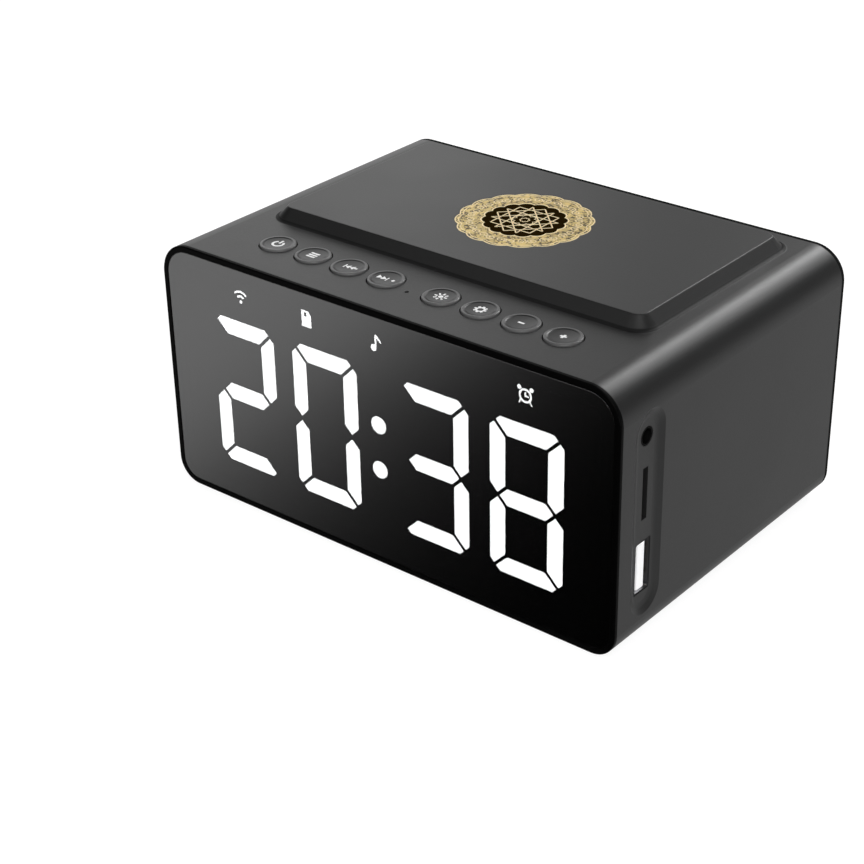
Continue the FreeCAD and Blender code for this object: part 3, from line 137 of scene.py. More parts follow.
# A Principled material whose patterns are laid out in real sizes on Object coordinates.
class Finish(Graph):
    def __init__(self, name, **constants):
        self.material = bpy.data.materials.new(name)
        self.material.use_nodes = True
        super().__init__(self.material.node_tree)
        self.shader = self.tree.nodes["Principled BSDF"]
        for label, value in constants.items():
            self.shader.inputs[label.replace("_", " ")].default_value = value
        self.place = self.node("ShaderNodeTexCoord", None, None, "Object")

    def cloud(self, size, detail=2.0, rough=0.5):
        return self.noise(self.place, size, detail, rough)

    # Noise drawn out along one axis, for brushed metal and hairlines.
    def strokes(self, scale, detail=2.0):
        drawn = self.node("ShaderNodeMapping", None, {"Vector": self.place, "Scale": scale})
        return self.noise(drawn, 1.0, detail)

    def cells(self, size):
        return self.node("ShaderNodeTexVoronoi", None, {"Vector": self.place, "Scale": 1.0 / size})

    def rounded(self, radius):
        return self.node("ShaderNodeBevel", {"samples": 4}, {"Radius": radius})

    # How far the rounded normal leaves the true one: 1 on a sharp edge, 0 away from it.
    def edges(self, softNormal):
        true = self.node("ShaderNodeNewGeometry", None, None, "Normal")
        along = self.node("ShaderNodeVectorMath", {"operation": "DOT_PRODUCT"},
                          {0: softNormal, 1: true}, "Value")
        return (1.0 - along).within(0.0, 0.25)

    def bump(self, height, depth, strength=1.0, normal=None):
        inputs = {"Height": height, "Distance": depth, "Strength": strength}
        if normal is not None:
            inputs["Normal"] = normal
        return self.node("ShaderNodeBump", None, inputs)

    # Distance from the axis of a round piece, and the angle around it.
    def around(self, centre):
        x, y, z = self.axes(self.place)
        x = x - centre[0]
        y = y - centre[1]
        return (x * x + y * y).calc("SQRT"), y.calc("ARCTAN2", x)

    def give(self, **links):
        for label, value in links.items():
            self.feed(self.shader.inputs[label.replace("_", " ")], value)
        return self.material


# Moulded plastic: a fine spark-eroded grain, slow changes of gloss and paler worn edges.
# The relief is a larger moulded form, in metres, with a paler share that is a painted
# highlight. The matte share has no gloss and is painted shade where it is laid.
def mouldedPlastic(name, level, gloss, grain=0.00035, depth=0.000012, edge=0.00022, wear=0.35,
                   tint=0.0, relief=None, matte=None, **constants):
    finish = Finish(name, **constants)
    soft = finish.rounded(edge)
    worn = finish.edges(soft)
    cloud = finish.cloud(0.03, 3.0)
    fine = finish.cloud(grain, 2.0, 0.6)
    pits = finish.cells(grain * 1.6)
    dark = finish.mix(cloud, grey(level * 0.93, tint), grey(level * 1.07, tint))
    pale = grey(min(level * 2.2 + 0.01, 0.9), tint)
    scuff = finish.cloud(0.004, 4.0, 0.7).within(0.45, 0.75)
    base = finish.mix(worn * scuff * wear, dark, pale)
    rough = gloss + (cloud - 0.5) * 0.08 + (fine - 0.5) * 0.10 - worn * 0.05
    height = fine * 0.6 + pits * 0.4
    if relief is not None:
        form, paintedHighlight = relief(finish)
        soft = finish.bump(form, 1.0, 1.0, soft)
        # The paler crest is a painted highlight.
        base = finish.mix(paintedHighlight * (0.8 + cloud * 0.2), base, grey(level * 9.0))
    normal = finish.bump(height, depth, 1.0, soft)
    material = finish.give(Base_Color=base, Roughness=rough, Normal=normal)
    # The matte share is painted shade: a diffuse share with no gloss where its mask is 1.
    if matte is not None:
        shadeDiffuse = finish.node("ShaderNodeBsdfDiffuse", None, {"Color": base, "Normal": normal})
        glossy = Wire(finish, finish.shader.outputs[0])
        both = finish.node("ShaderNodeMixShader", None, {0: matte(finish), 1: glossy, 2: shadeDiffuse})
        finish.feed(finish.tree.nodes["Material Output"].inputs["Surface"], both)
    return material


# Polished plastic with a faint haze and hairlines.
def glossPlastic(name, level, gloss, tint):
    finish = Finish(name)
    soft = finish.rounded(0.0002)
    haze = finish.cloud(0.012, 4.0, 0.6)
    hairlines = finish.strokes((60.0, 60.0, 2500.0))
    base = finish.mix(haze, grey(level * 0.9, tint), grey(level * 1.1, tint))
    rough = gloss + (haze - 0.5) * 0.05 + hairlines.within(0.62, 0.8) * 0.05
    return finish.give(Base_Color=base, Roughness=rough,
                       Normal=finish.bump(finish.cloud(0.006), 0.000004, 0.4, soft))


# A dark plate that holds back the smoke share of the light where it goes in and is clear
# where it comes out, with faint smears and dust.
def smokedLens(smoke, corner, **constants):
    finish = Finish("smokedLens", **constants)
    soft = finish.rounded(corner)
    smear = finish.cloud(0.02, 4.0, 0.6)
    dust = finish.cells(0.0016).within(0.07, 0.0) * finish.cloud(0.01).within(0.6, 0.75)
    base = finish.mix(dust * 0.15, grey(0.001), grey(0.10))
    front = 1.0 - finish.node("ShaderNodeNewGeometry", None, None, "Backfacing")
    return finish.give(Base_Color=base, Roughness=0.05 + smear * 0.03, Alpha=front * smoke,
                       Normal=finish.bump(finish.cloud(0.03), 0.000003, 0.3, soft))


# Milky plate that is lit from behind, with a fine moulded grain.
def litPlate(strength):
    finish = Finish("litPlate", Roughness=0.5, Emission_Strength=strength)
    grain = finish.cloud(0.0012, 2.0)
    glow = finish.mix(grain, (0.94, 0.955, 0.97, 1), (1.0, 1.0, 1.0, 1))
    return finish.give(Base_Color=finish.mix(grain, grey(0.75), grey(0.82)), Emission_Color=glow,
                       Normal=finish.bump(grain, 0.00001))


# Printed film, tape or ink, with a fine fibre.
def filmFinish(name, level, gloss, **constants):
    finish = Finish(name, **constants)
    fibre = finish.cloud(0.0006, 3.0, 0.6)
    return finish.give(Base_Color=finish.mix(fibre, grey(level * 0.8), grey(level * 1.2)),
                       Roughness=gloss + (fibre - 0.5) * 0.1,
                       Normal=finish.bump(fibre, 0.000006, 0.5))


# Metal with fine lines across one axis and a slight stain.
def metal(name, colour, gloss, lineScale=(400.0, 400.0, 6000.0)):
    finish = Finish(name, Metallic=1.0)
    soft = finish.rounded(0.00012)
    lines = finish.strokes(lineScale, 3.0)
    stain = finish.cloud(0.003, 3.0)
    tarnish = stain * 0.5 + lines * 0.3
    return finish.give(Base_Color=finish.mix(tarnish, colour, shade(colour, 0.75)),
                       Roughness=gloss + (lines - 0.5) * 0.15 + (stain - 0.5) * 0.08,
                       Normal=finish.bump(lines, 0.000006, 0.6, soft))


# Soft rubber or vinyl with a pale bloom.
def rubber(name, level):
    finish = Finish(name, IOR=1.45)
    soft = finish.rounded(0.0002)
    fine = finish.cloud(0.0004, 3.0, 0.65)
    bloom = finish.cloud(0.006, 3.0)
    return finish.give(Base_Color=finish.mix(bloom, grey(level * 0.8), grey(level * 1.4)),
                       Roughness=0.75 + (fine - 0.5) * 0.15,
                       Normal=finish.bump(fine, 0.00002, 0.7, soft))


# Glass-fibre laminate under a tinted lacquer, with tracks laid like the joints of bricks.
def laminate(name, colour):
    finish = Finish(name)
    x, y, z = finish.axes(finish.place)
    weave = ((x * 2200.0).calc("SINE") + (y * 2200.0).calc("SINE")) * 0.25 + 0.5
    tracks = finish.node("ShaderNodeTexBrick", {"offset": 0.35, "squash": 1.6},
                         {"Vector": finish.place, "Scale": 260.0, "Mortar Size": 0.03,
                          "Color1": grey(0.0), "Color2": grey(0.0), "Mortar": grey(1.0)}, "Fac")
    lighter = shade(colour, 1.5)
    base = finish.mix(tracks * 0.6, finish.mix(weave * 0.3, colour, lighter), lighter)
    return finish.give(Base_Color=base, Roughness=0.38 + weave * 0.08,
                       Normal=finish.bump(tracks + weave * 0.2, 0.00002, 0.5))


# Turns of fine wire, as rings round the axis of the coil.
def windings(name, colour, wire, centre):
    finish = Finish(name, Metallic=0.9)
    reach, angle = finish.around(centre)
    turns = (reach * (2 * math.pi / wire)).calc("SINE") * 0.5 + 0.5
    return finish.give(Base_Color=finish.mix(turns, shade(colour, 0.5), colour),
                       Roughness=0.3 + turns * 0.1, Normal=finish.bump(turns, 0.00015, 0.8))


def wovenCloth(name, level, pitch):
    finish = Finish(name)
    x, y, z = finish.axes(finish.place)
    warp = (x * (2 * math.pi / pitch)).calc("SINE")
    weft = (z * (2 * math.pi / pitch)).calc("SINE")
    thread = warp * weft * 0.5 + 0.5
    return finish.give(Base_Color=finish.mix(thread, grey(level * 0.4), grey(level)),
                       Roughness=0.85 + thread * 0.1,
                       Normal=finish.bump(thread, pitch * 0.3, 0.8))


def paperCone(name, level):
    finish = Finish(name)
    fibre = finish.cloud(0.0009, 5.0, 0.7)
    base = finish.mix(fibre, grey(level * 0.7, 0.03), grey(level * 1.3, 0.03))
    return finish.give(Base_Color=base, Roughness=0.8 + (fibre - 0.5) * 0.1,
                       Normal=finish.bump(fibre, 0.00005, 0.6))


# Shrunk wrap with slow creases.
def wrapFinish(name, colour):
    finish = Finish(name)
    crease = finish.cloud(0.008, 4.0, 0.6)
    return finish.give(Base_Color=finish.mix(crease, colour, shade(colour, 1.3)),
                       Roughness=0.25 + crease * 0.2, Normal=finish.bump(crease, 0.0001, 0.5))


buttonSizes = {
    "perSide": 4,
    "dishReach": 0.0039,
    "dish": 0.00022,
    "rimStart": 0.00325,
    "crest": 0.0036,
    "rimEnd": 0.00395,
    "rimRise": 0.00015,
}


# The raised rim round the dish of each button, with a painted highlight on its crest. The row is even
# on each side of the microphone hole, and the left half mirrors the right one.
def buttonRim(finish):
    size = buttonSizes
    first, last = middleOf("button_light"), middleOf("button_plus")
    pitch = (last[0] - first[0]) / (size["perSide"] - 1)
    x, y, z = finish.axes(finish.place)
    x = x.calc("ABSOLUTE") - first[0]
    x = x - (x / pitch).calc("ROUND") * pitch
    y = y - first[1]
    reach = (x * x + y * y).calc("SQRT")
    form = reach.within(size["rimStart"], size["rimEnd"]) * size["rimRise"]
    return form, reach.within(size["crest"], size["rimEnd"])


housingSizes = {
    "plateauRise": 0.003,
    "footStart": 0.000005,
    "footEnd": 0.0006,
    "footSoft": 0.00004,
    "footFade": 0.0002,
    "footShare": 0.72,
    "rearBand": 0.0007,
    "rearSoft": 0.0001,
}


# Painted shade on the housing: the matte share takes away the gloss in the crease round the foot of the
# plateau, where shade falls, and paints a dark line along the rear end.
def housingPaintedShade(finish):
    size = housingSizes
    rearEnd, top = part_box("housing")[1][1:]
    foot = top - size["plateauRise"]
    start, end = foot + size["footStart"], foot + size["footEnd"]
    rear = rearEnd - size["rearBand"]
    x, y, z = finish.axes(finish.place)
    ring = z.within(start, start + size["footSoft"]) * z.within(end, end - size["footFade"])
    return (ring * size["footShare"]).calc("MAXIMUM", y.within(rear, rear + size["rearSoft"]))


# The band and the rounded edge of the rear cover, all but its flat back: there the matte share is
# painted shade, a dark line along the back edges.
def coverPaintedShade(finish):
    depth = finish.axes(finish.node("ShaderNodeTexCoord", None, None, "Normal"))[1]
    return depth.within(0.97, 0.85)


leafSizes = {
    "turn": 0.011,
    "stretch": 0.9,
    "leaf": 0.0010,
    "vein": 0.0012,
    "spot": 0.00085,
    "cluster": 0.0016,
}


# Printed gold with small dark gaps that lie in rings, as leaves and tendrils do.
def printedGold(name, colour, dark, centre):
    size = leafSizes
    finish = Finish(name, Metallic=0.35, IOR=1.3)
    reach, angle = finish.around(centre)
    wound = finish.vector(angle.calc("COSINE") * size["turn"], angle.calc("SINE") * size["turn"],
                          reach * size["stretch"])
    leaves = finish.node("ShaderNodeTexVoronoi", {"feature": "DISTANCE_TO_EDGE"},
                         {"Vector": wound, "Scale": 1 / size["leaf"]})
    gaps = finish.noise(wound, size["vein"]).within(0.46, 0.54) * leaves.within(0.20, 0.06)
    clusters = finish.cloud(size["cluster"]).within(0.46, 0.56)
    spots = finish.cells(size["spot"]).within(0.36, 0.26) * clusters
    tone = finish.cloud(0.003, 3.0)
    gold = finish.mix(tone.within(0.35, 0.65), shade(colour, 0.82), shade(colour, 1.15))
    ink = gaps.calc("MAXIMUM", spots)
    return finish.give(Base_Color=finish.mix(ink, gold, dark), Roughness=0.42 + (tone - 0.5) * 0.1,
                       Normal=finish.bump(ink, 0.00002, 0.5))


# Pale gold foil for the fine lines of the medallion.
def printedLine(name, colour):
    finish = Finish(name, Metallic=0.2, IOR=1.3)
    tone = finish.cloud(0.0008, 3.0)
    return finish.give(Base_Color=finish.mix(tone, shade(colour, 0.9), colour),
                       Roughness=0.4 + tone * 0.1, Normal=finish.bump(tone, 0.000004, 0.5))


# Plated sheet steel with painted shade by the way its faces point: bright plating on its floor and
# ceiling, painted shade on its walls and darker painted shade on its cut edges.
def stampedSteel(name, colour, wallShadeShare, cutShadeShare, gloss):
    finish = Finish(name, Metallic=1.0)
    soft = finish.rounded(0.00006)
    across, along, level = finish.axes(finish.node("ShaderNodeTexCoord", None, None, "Normal"))
    cutEdgeShade = across.calc("ABSOLUTE").within(0.6, 0.9)
    lines = finish.strokes((400.0, 6000.0, 400.0), 3.0)
    plateWithShadedWalls = finish.mix(level.calc("ABSOLUTE").within(0.6, 0.9), shade(colour, wallShadeShare), colour)
    return finish.give(Base_Color=finish.mix(cutEdgeShade, plateWithShadedWalls, shade(colour, cutShadeShare)),
                       Roughness=gloss + cutEdgeShade * 0.2 + (lines - 0.5) * 0.1,
                       Normal=finish.bump(lines, 0.000004, 0.5, soft))


middle = middleOf("medallion_disc")[:2]  # the axis of the medallion and the charging coil

finishes = {
    "housingPlastic": mouldedPlastic("housingPlastic", 0.012, 0.40, matte=housingPaintedShade, IOR=1.4),
    "coverPlastic": mouldedPlastic("coverPlastic", 0.010, 0.55, 0.0005, 0.00002, 0.00008, 0.1,
                                   matte=coverPaintedShade, IOR=1.35),
    "bezelPlastic": mouldedPlastic("bezelPlastic", 0.001, 0.45, 0.0003, 0.000005, 0.00012, 0.5,
                                   IOR=1.1),
    "lens": smokedLens(0.9375, 0.00035, IOR=2.5),
    "tape": filmFinish("adhesiveTape", 0.002, 0.8, Specular_IOR_Level=0.0),
    "litPlate": litPlate(16.5),
    "unlitPlate": filmFinish("unlitPlate", 0.002, 0.7, Specular_IOR_Level=0.0),
    "mask": filmFinish("maskFilm", 0.002, 0.6, Specular_IOR_Level=0.0),
    "reflector": mouldedPlastic("reflectorPlastic", 0.7, 0.45),
    "board": laminate("boardLaminate", (0.012, 0.10, 0.045, 1)),
    "led": glossPlastic("ledPackage", 0.75, 0.25, tint=0.06),
    "epoxy": mouldedPlastic("chipEpoxy", 0.02, 0.55, 0.0002),
    "receiver": glossPlastic("receiverEpoxy", 0.01, 0.12, tint=0.25),
    "button": mouldedPlastic("buttonPlastic", 0.011, 0.36, 0.0003, 0.000008, 0.0002, 0.4,
                             relief=buttonRim, IOR=1.4),
    "mark": filmFinish("markInk", 0.85, 0.5),
    "switch": mouldedPlastic("switchPlastic", 0.03, 0.5),
    "rubber": rubber("rubberBlack", 0.02),
    "capsule": metal("capsuleMetal", (0.75, 0.75, 0.77, 1), 0.3),
    "steel": metal("platedSteel", (0.82, 0.82, 0.83, 1), 0.24),
    "portSteel": stampedSteel("portSteel", (0.62, 0.62, 0.64, 1), 0.16, 0.04, 0.3),
    "screw": metal("screwSteel", (0.16, 0.16, 0.17, 1), 0.35),
    # The tongue's emission is painted light: a faint glow that makes the shaded tongue read bright
    # white.
    "whiteTongueGlow": mouldedPlastic("tongueWhiteGlow", 0.88, 0.42, 0.0003, Emission_Strength=0.2,
                                  Emission_Color=grey(1.0)),
    "blackPort": mouldedPlastic("portBlack", 0.002, 0.6, 0.0003, IOR=1.15),
    "gold": metal("contactGold", (0.95, 0.68, 0.28, 1), 0.25),
    "copper": windings("coilCopper", (0.75, 0.32, 0.14, 1), 0.0007, middle),
    "voiceCopper": metal("voiceCopper", (0.75, 0.32, 0.14, 1), 0.3, (400.0, 6000.0, 400.0)),
    "ferrite": mouldedPlastic("ferriteGrey", 0.05, 0.6, 0.0008),
    "wrap": wrapFinish("batteryWrap", (0.02, 0.12, 0.38, 1)),
    "can": metal("capacitorCan", (0.6, 0.6, 0.62, 1), 0.3),
    "basket": metal("basketSteel", (0.35, 0.35, 0.36, 1), 0.4),
    "cone": paperCone("conePaper", 0.02),
    "lead": rubber("leadSleeve", 0.12),
    "cloth": wovenCloth("dustCloth", 0.03, 0.0006),
    "medallionGold": printedGold("medallionGold", (0.62, 0.47, 0.18, 1), (0.07, 0.045, 0.012, 1),
                                 middle),
    "medallionLine": printedLine("medallionLine", (0.92, 0.76, 0.46, 1)),
    "medallionBrown": mouldedPlastic("medallionBrown", 0.008, 0.6, tint=0.8,
                                     Specular_IOR_Level=0.0),
}

finishOfNode = {
    "housing": "housingPlastic", "rear_cover": "coverPlastic", "front_bezel": "bezelPlastic",
    "display_lens": "lens", "lens_adhesive_frame": "tape", "digit_segments_lit": "litPlate",
    "indicator_icons": "litPlate", "digit_segments_unlit": "unlitPlate", "display_mask": "mask",
    "reflector_block": "reflector", "display_board": "board", "key_board": "board",
    "charger_board": "board", "main_board": "board", "port_board": "board", "power_board": "board",
    "display_leds": "led", "display_driver_chip": "epoxy", "main_board_chips": "epoxy",
    "charger_components": "epoxy", "infrared_receiver": "receiver", "tact_switches": "switch",
    "microphone_boot": "rubber", "microphone_capsule": "capsule", "audio_jack": "blackPort",
    "card_socket": "blackPort", "usb_shell": "portSteel", "usb_tongue": "whiteTongueGlow",
    "usb_contacts": "gold", "medallion_ring": "medallionGold", "medallion_disc": "medallionBrown",
    "charging_coil": "copper", "ferrite_sheet": "ferrite", "battery_pack": "wrap",
    "battery_adhesive_pad": "tape", "capacitors": "can", "speaker_basket": "basket",
    "speaker_cone": "cone", "speaker_surround": "rubber", "speaker_magnet": "ferrite",
    "speaker_pole_piece": "steel", "speaker_top_plate": "steel", "voice_coil": "voiceCopper",
    "speaker_dust_cloth": "cloth", "power_inlet_shell": "steel", "power_inlet_tongue": "blackPort",
    "feet": "rubber", "rear_cover_screws": "screw", "bezel_screws": "screw",
    "board_screws": "steel", "internal_leads": "lead",
}


def finishNodes():
    for name, item in nodes.items():
        label = "button" if name.startswith("button_") else finishOfNode[name]
        item.data.materials.clear()
        item.data.materials.append(finishes[label])
    print("stage: finishes on the packed parts")


# A mesh object at the origin, with its place in its mesh.
def meshPiece(name, points, faces, material):
    mesh = bpy.data.meshes.new(name)
    mesh.from_pydata(points, [], faces)
    mesh.materials.append(material)
    piece = bpy.data.objects.new(name, mesh)
    scene.collection.objects.link(piece)
    return piece


def bar(left, low, right, high):
    return [(left, low), (right, low), (right, high), (left, high)]


def turned(polygon, degrees):
    turn = math.radians(degrees)
    return [(x * math.cos(turn) - y * math.sin(turn), x * math.sin(turn) + y * math.cos(turn))
            for x, y in polygon]


def disc(radius, count=20):
    return [(radius * math.cos(2 * math.pi * k / count), radius * math.sin(2 * math.pi * k / count))
            for k in range(count)]


# Quadrilaterals that follow an arc between two radii.
def arc(inner, outer, start, end, count=24):
    step = (end - start) / count
    edge = [(inner, 0.0), (outer, 0.0)]
    wedge = edge + turned(reversed(edge), step)
    return [turned(wedge, start + k * step) for k in range(count)]


def arrow(tip, tail, half):
    return [(tip, 0.0), (tail, half), (tail, -half)]


# Polygons moved along x, after half a turn where way is -1.
def placed(polygons, shift, way=1):
    return [[(way * x + shift, way * y) for x, y in polygon] for polygon in polygons]


# All in millimetres, but for the share, the gap in degrees and the count of cuts.
markSizes = {
    "stroke": 0.60,
    "fineShare": 0.8,
    "ring": 1.35,
    "ringGap": 35,
    "powerStart": 0.35,
    "powerEnd": 1.95,
    "menuHalf": 1.3,
    "menuPitch": 0.95,
    "rayStart": 0.95,
    "rayEnd": 1.75,
    "sun": 0.62,
    "gear": 0.72,
    "gearRim": 1.2,
    "toothRoot": 1.15,
    "tooth": 1.62,
    "arrowHalf": 0.85,
    "arrowLength": 1.3,
    "arrowBar": 0.3,
    "previousStart": 1.55,
    "nextStart": -2.45,
    "signHalf": 0.85,
    "smallSignHalf": 0.45,
    "smallSignPlace": 2.1,
    "thickness": 0.04,
    "grid": 0.35,
    "cuts": 9,
}
millimetre = 0.001


# The marks on the buttons, each drawn about the middle of its button.
def markOutlines():
    size = markSizes
    half = size["stroke"] / 2
    fine = half * size["fineShare"]
    ring = arc(size["ring"] - half, size["ring"] + half, 90 + size["ringGap"], 450 - size["ringGap"])
    ray = bar(size["rayStart"], -fine, size["rayEnd"], fine)
    tooth = bar(size["toothRoot"], -half, size["tooth"], half)
    length, arrowHalf = size["arrowLength"], size["arrowHalf"]
    skip = [arrow(tip, tip - length, arrowHalf) for tip in (length, 2 * length)]
    skip.append(bar(2 * length, -arrowHalf, 2 * length + size["arrowBar"], arrowHalf))
    spot, small = size["smallSignPlace"], size["smallSignHalf"]
    smallMinus = [bar(spot - small, -fine, spot + small, fine)]
    smallPlus = smallMinus + [bar(spot - fine, fine, spot + fine, small),
                              bar(spot - fine, -small, spot + fine, -fine)]
    wide = size["signHalf"]
    dash = bar(-wide, -half, wide, half)
    return {
        "power": ring + [bar(-half, size["powerStart"], half, size["powerEnd"])],
        "menu": [bar(-size["menuHalf"], level - half, size["menuHalf"], level + half)
                 for level in (-size["menuPitch"], 0.0, size["menuPitch"])],
        "previous": placed(skip, size["previousStart"], -1) + smallMinus,
        "next": placed(skip, size["nextStart"]) + smallPlus,
        "light": [disc(size["sun"])] + [turned(ray, 45 * k) for k in range(8)],
        "settings": arc(size["gear"], size["gearRim"], 0, 360, 32) + [turned(tooth, 45 * k)
                                                                      for k in range(8)],
        "minus": [dash],
        "plus": [dash, bar(-half, half, half, wide), bar(-half, -wide, half, -half)],
    }


# A thin printed plate that follows the dish of its button.
def printMark(name, polygons):
    node = "button_" + name
    flat = bmesh.new()
    for polygon in polygons:
        flat.faces.new([flat.verts.new((x * millimetre, y * millimetre, 0.0)) for x, y in polygon])
    bmesh.ops.remove_doubles(flat, verts=flat.verts[:], dist=1e-6)
    cuts, grid = markSizes["cuts"], markSizes["grid"] * millimetre
    for across in (Vector((1, 0, 0)), Vector((0, 1, 0))):
        for k in range(-cuts, cuts + 1):
            bmesh.ops.bisect_plane(flat, geom=flat.verts[:] + flat.edges[:] + flat.faces[:],
                                   dist=1e-7, plane_co=across * (k * grid), plane_no=across)
    flat.verts.index_update()
    reach, dish = buttonSizes["dishReach"], buttonSizes["dish"]
    ball = (reach * reach + dish * dish) / (2 * dish)
    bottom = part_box(node)[1][2] - dish
    centre = middleOf(node)
    count = len(flat.verts)
    half = markSizes["thickness"] * millimetre / 2
    spots = [(v.co.x, v.co.y, bottom + (v.co.x ** 2 + v.co.y ** 2) / (2 * ball)) for v in flat.verts]
    points = [(x + centre[0], y + centre[1], z + side) for side in (-half, half) for x, y, z in spots]
    faces = [[v.index + count for v in face.verts] for face in flat.faces]
    faces += [[v.index for v in reversed(face.verts)] for face in flat.faces]
    for edge in flat.edges:
        if len(edge.link_loops) == 1:
            start = edge.link_loops[0].vert.index
            end = edge.link_loops[0].link_loop_next.vert.index
            faces.append([start, end, end + count, start + count])
    flat.free()
    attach(meshPiece(name + "_mark", points, faces, finishes["mark"]), name + "_button")


def makeMarks():
    for name, polygons in markOutlines().items():
        printMark(name, polygons)
    print("stage: marks on the buttons")


# A Geometry Nodes tree with named inputs. It ends in Realize Instances and Set Material.
class Shape(Graph):
    def __init__(self, name, **sizes):
        self.group = bpy.data.node_groups.new(name, "GeometryNodeTree")
        super().__init__(self.group)
        self.group.interface.new_socket("Geometry", in_out="OUTPUT",
                                        socket_type="NodeSocketGeometry")
        self.labels = {}
        for label, value in sizes.items():
            kind = "NodeSocketInt" if isinstance(value, int) else "NodeSocketFloat"
            socket = self.group.interface.new_socket(label, in_out="INPUT", socket_type=kind)
            self.labels[label] = socket.identifier
        self.sizes = sizes
        self.entry = self.group.nodes.new("NodeGroupInput")

    def size(self, label):
        return Wire(self, self.entry.outputs[label])

    def moved(self, geometry, place):
        return self.node("GeometryNodeSetPosition", None, {"Geometry": geometry, "Position": place})

    # A place at an angle and a distance round the axis of the medallion.
    def around(self, angle, reach, height):
        return self.vector(angle.calc("COSINE") * reach + middle[0],
                           angle.calc("SINE") * reach + middle[1], height)

    # Runs the tree on an empty mesh and keeps the result as a plain mesh.
    def build(self, name, geometry, material):
        whole = self.node("GeometryNodeRealizeInstances", None, {0: geometry})
        whole = self.node("GeometryNodeSetMaterial", None, {"Geometry": whole, "Material": material})
        output = self.group.nodes.new("NodeGroupOutput")
        self.feed(output.inputs[0], whole)
        carrier = bpy.data.objects.new(name, bpy.data.meshes.new(name + "Start"))
        scene.collection.objects.link(carrier)
        modifier = carrier.modifiers.new("shape", "NODES")
        modifier.node_group = self.group
        for label, identifier in self.labels.items():
            modifier[identifier] = self.sizes[label]
        live = carrier.evaluated_get(bpy.context.evaluated_depsgraph_get())
        mesh = bpy.data.meshes.new_from_object(live)
        mesh.name = name
        carrier.modifiers.remove(modifier)
        carrier.data = mesh
        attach(carrier, "clock_body")


medallionSizes = {
    "thickness": 0.000012,
    "ringSteps": 12,
    "line": 0.00028,
    "scrolls": 32,
    "scrollRadius": 0.01335,
    "scrollReach": 0.00125,
    "scrollStart": 0.22,
    "scrollTurns": 1.35,
    "scrollSteps": 14,
    "starPoints": 8,
    "star": 0.0084,
    "bar": 0.00034,
}

# Each scalloped line: its radius, its width, its scallops and how far they bulge.
medallionLines = {
    "outer_line": (0.016064, 0.00028, 16, 0.00075),
    "second_line": (0.01528, 0.000196, 16, 0.00075),
    "inner_line": (0.009784, 0.000336, 16, 0.00075),
    "rosette": (0.0022, 0.00028, 8, 0.00075),
    "heart": (0.00077, 0.00028, 8, 0.0003),
}

# Each star: a bar joins every point to the one that is this many places on.
medallionStars = {"wide_star": 2, "narrow_star": 3}


# A flat ring with scallops that bulge outwards and meet in points.
def scallopRing(name, radius, width, scallops, rise, low):
    size = medallionSizes
    shape = Shape(name + "Shape", Radius=radius, Width=width, Scallops=scallops, Rise=rise, Low=low,
                  Thickness=size["thickness"], Steps=size["ringSteps"])
    scallopCount = shape.size("Scallops")
    stops = scallopCount * shape.size("Steps") + 1
    grid = shape.node("GeometryNodeMeshGrid", None,
                      {"Size X": 1.0, "Size Y": 1.0, "Vertices X": stops, "Vertices Y": 2})
    u, v, flat = shape.axes(shape.node("GeometryNodeInputPosition"))
    u = u + 0.5
    side = (u * scallopCount).calc("FRACT") * 2.0 - 1.0
    bulge = shape.size("Rise") * (1.0 - side * side)
    reach = shape.size("Radius") + bulge + shape.size("Width") * (0.5 - v)
    place = shape.around(u * (2 * math.pi), reach, shape.size("Low"))
    ring = shape.node("GeometryNodeMergeByDistance", None,
                      {"Geometry": shape.moved(grid, place), "Distance": 1e-6})
    under = shape.node("GeometryNodeFlipFaces", None, {0: ring})
    upper = shape.node("GeometryNodeExtrudeMesh", None,
                       {"Mesh": ring, "Offset": shape.vector(0.0, 0.0, 1.0),
                        "Offset Scale": shape.size("Thickness"), "Individual": False})
    joined = shape.node("GeometryNodeJoinGeometry", None, {0: [under, upper]})
    closed = shape.node("GeometryNodeMergeByDistance", None, {"Geometry": joined, "Distance": 1e-7})
    shape.build(name, closed, finishes["medallionLine"])


# Curls that stand side by side round the gold ring, every second one turned about.
def scrollRing(name, low):
    size = medallionSizes
    shape = Shape(name + "Shape", Count=size["scrolls"], Radius=size["scrollRadius"],
                  Reach=size["scrollReach"], Start=size["scrollStart"], Turns=size["scrollTurns"],
                  Steps=size["scrollSteps"], Line=size["line"], Low=low, Thickness=size["thickness"])
    reach, thickness = shape.size("Reach"), shape.size("Thickness")
    curl = shape.node("GeometryNodeCurveSpiral", None,
                      {"Resolution": shape.size("Steps"), "Rotations": shape.size("Turns"),
                       "Start Radius": reach * shape.size("Start"), "End Radius": reach,
                       "Height": 0.0})
    curl = shape.node("GeometryNodeSetCurveNormal", {"mode": "Z_UP"}, {"Curve": curl})
    section = shape.node("GeometryNodeCurvePrimitiveCircle", None,
                         {"Resolution": 4, "Radius": shape.size("Line") * 0.5})
    ribbon = shape.node("GeometryNodeCurveToMesh", None,
                        {"Curve": curl, "Profile Curve": section, "Fill Caps": True})
    x, y, z = shape.axes(shape.node("GeometryNodeInputPosition"))
    ribbon = shape.moved(ribbon, shape.vector(x, y, z * thickness / shape.size("Line")))
    index = shape.node("GeometryNodeInputIndex")
    angle = index * (2 * math.pi) / shape.size("Count")
    posts = shape.node("GeometryNodePoints", None, {"Count": shape.size("Count")})
    posts = shape.moved(posts, shape.around(angle, shape.size("Radius"),
                                            shape.size("Low") + thickness * 0.5))
    turn = angle + index.calc("MODULO", 2.0) * math.pi
    curls = shape.node("GeometryNodeInstanceOnPoints", None,
                       {"Points": posts, "Instance": ribbon,
                        "Rotation": shape.vector(0.0, 0.0, turn)})
    shape.build(name, curls, finishes["medallionLine"])


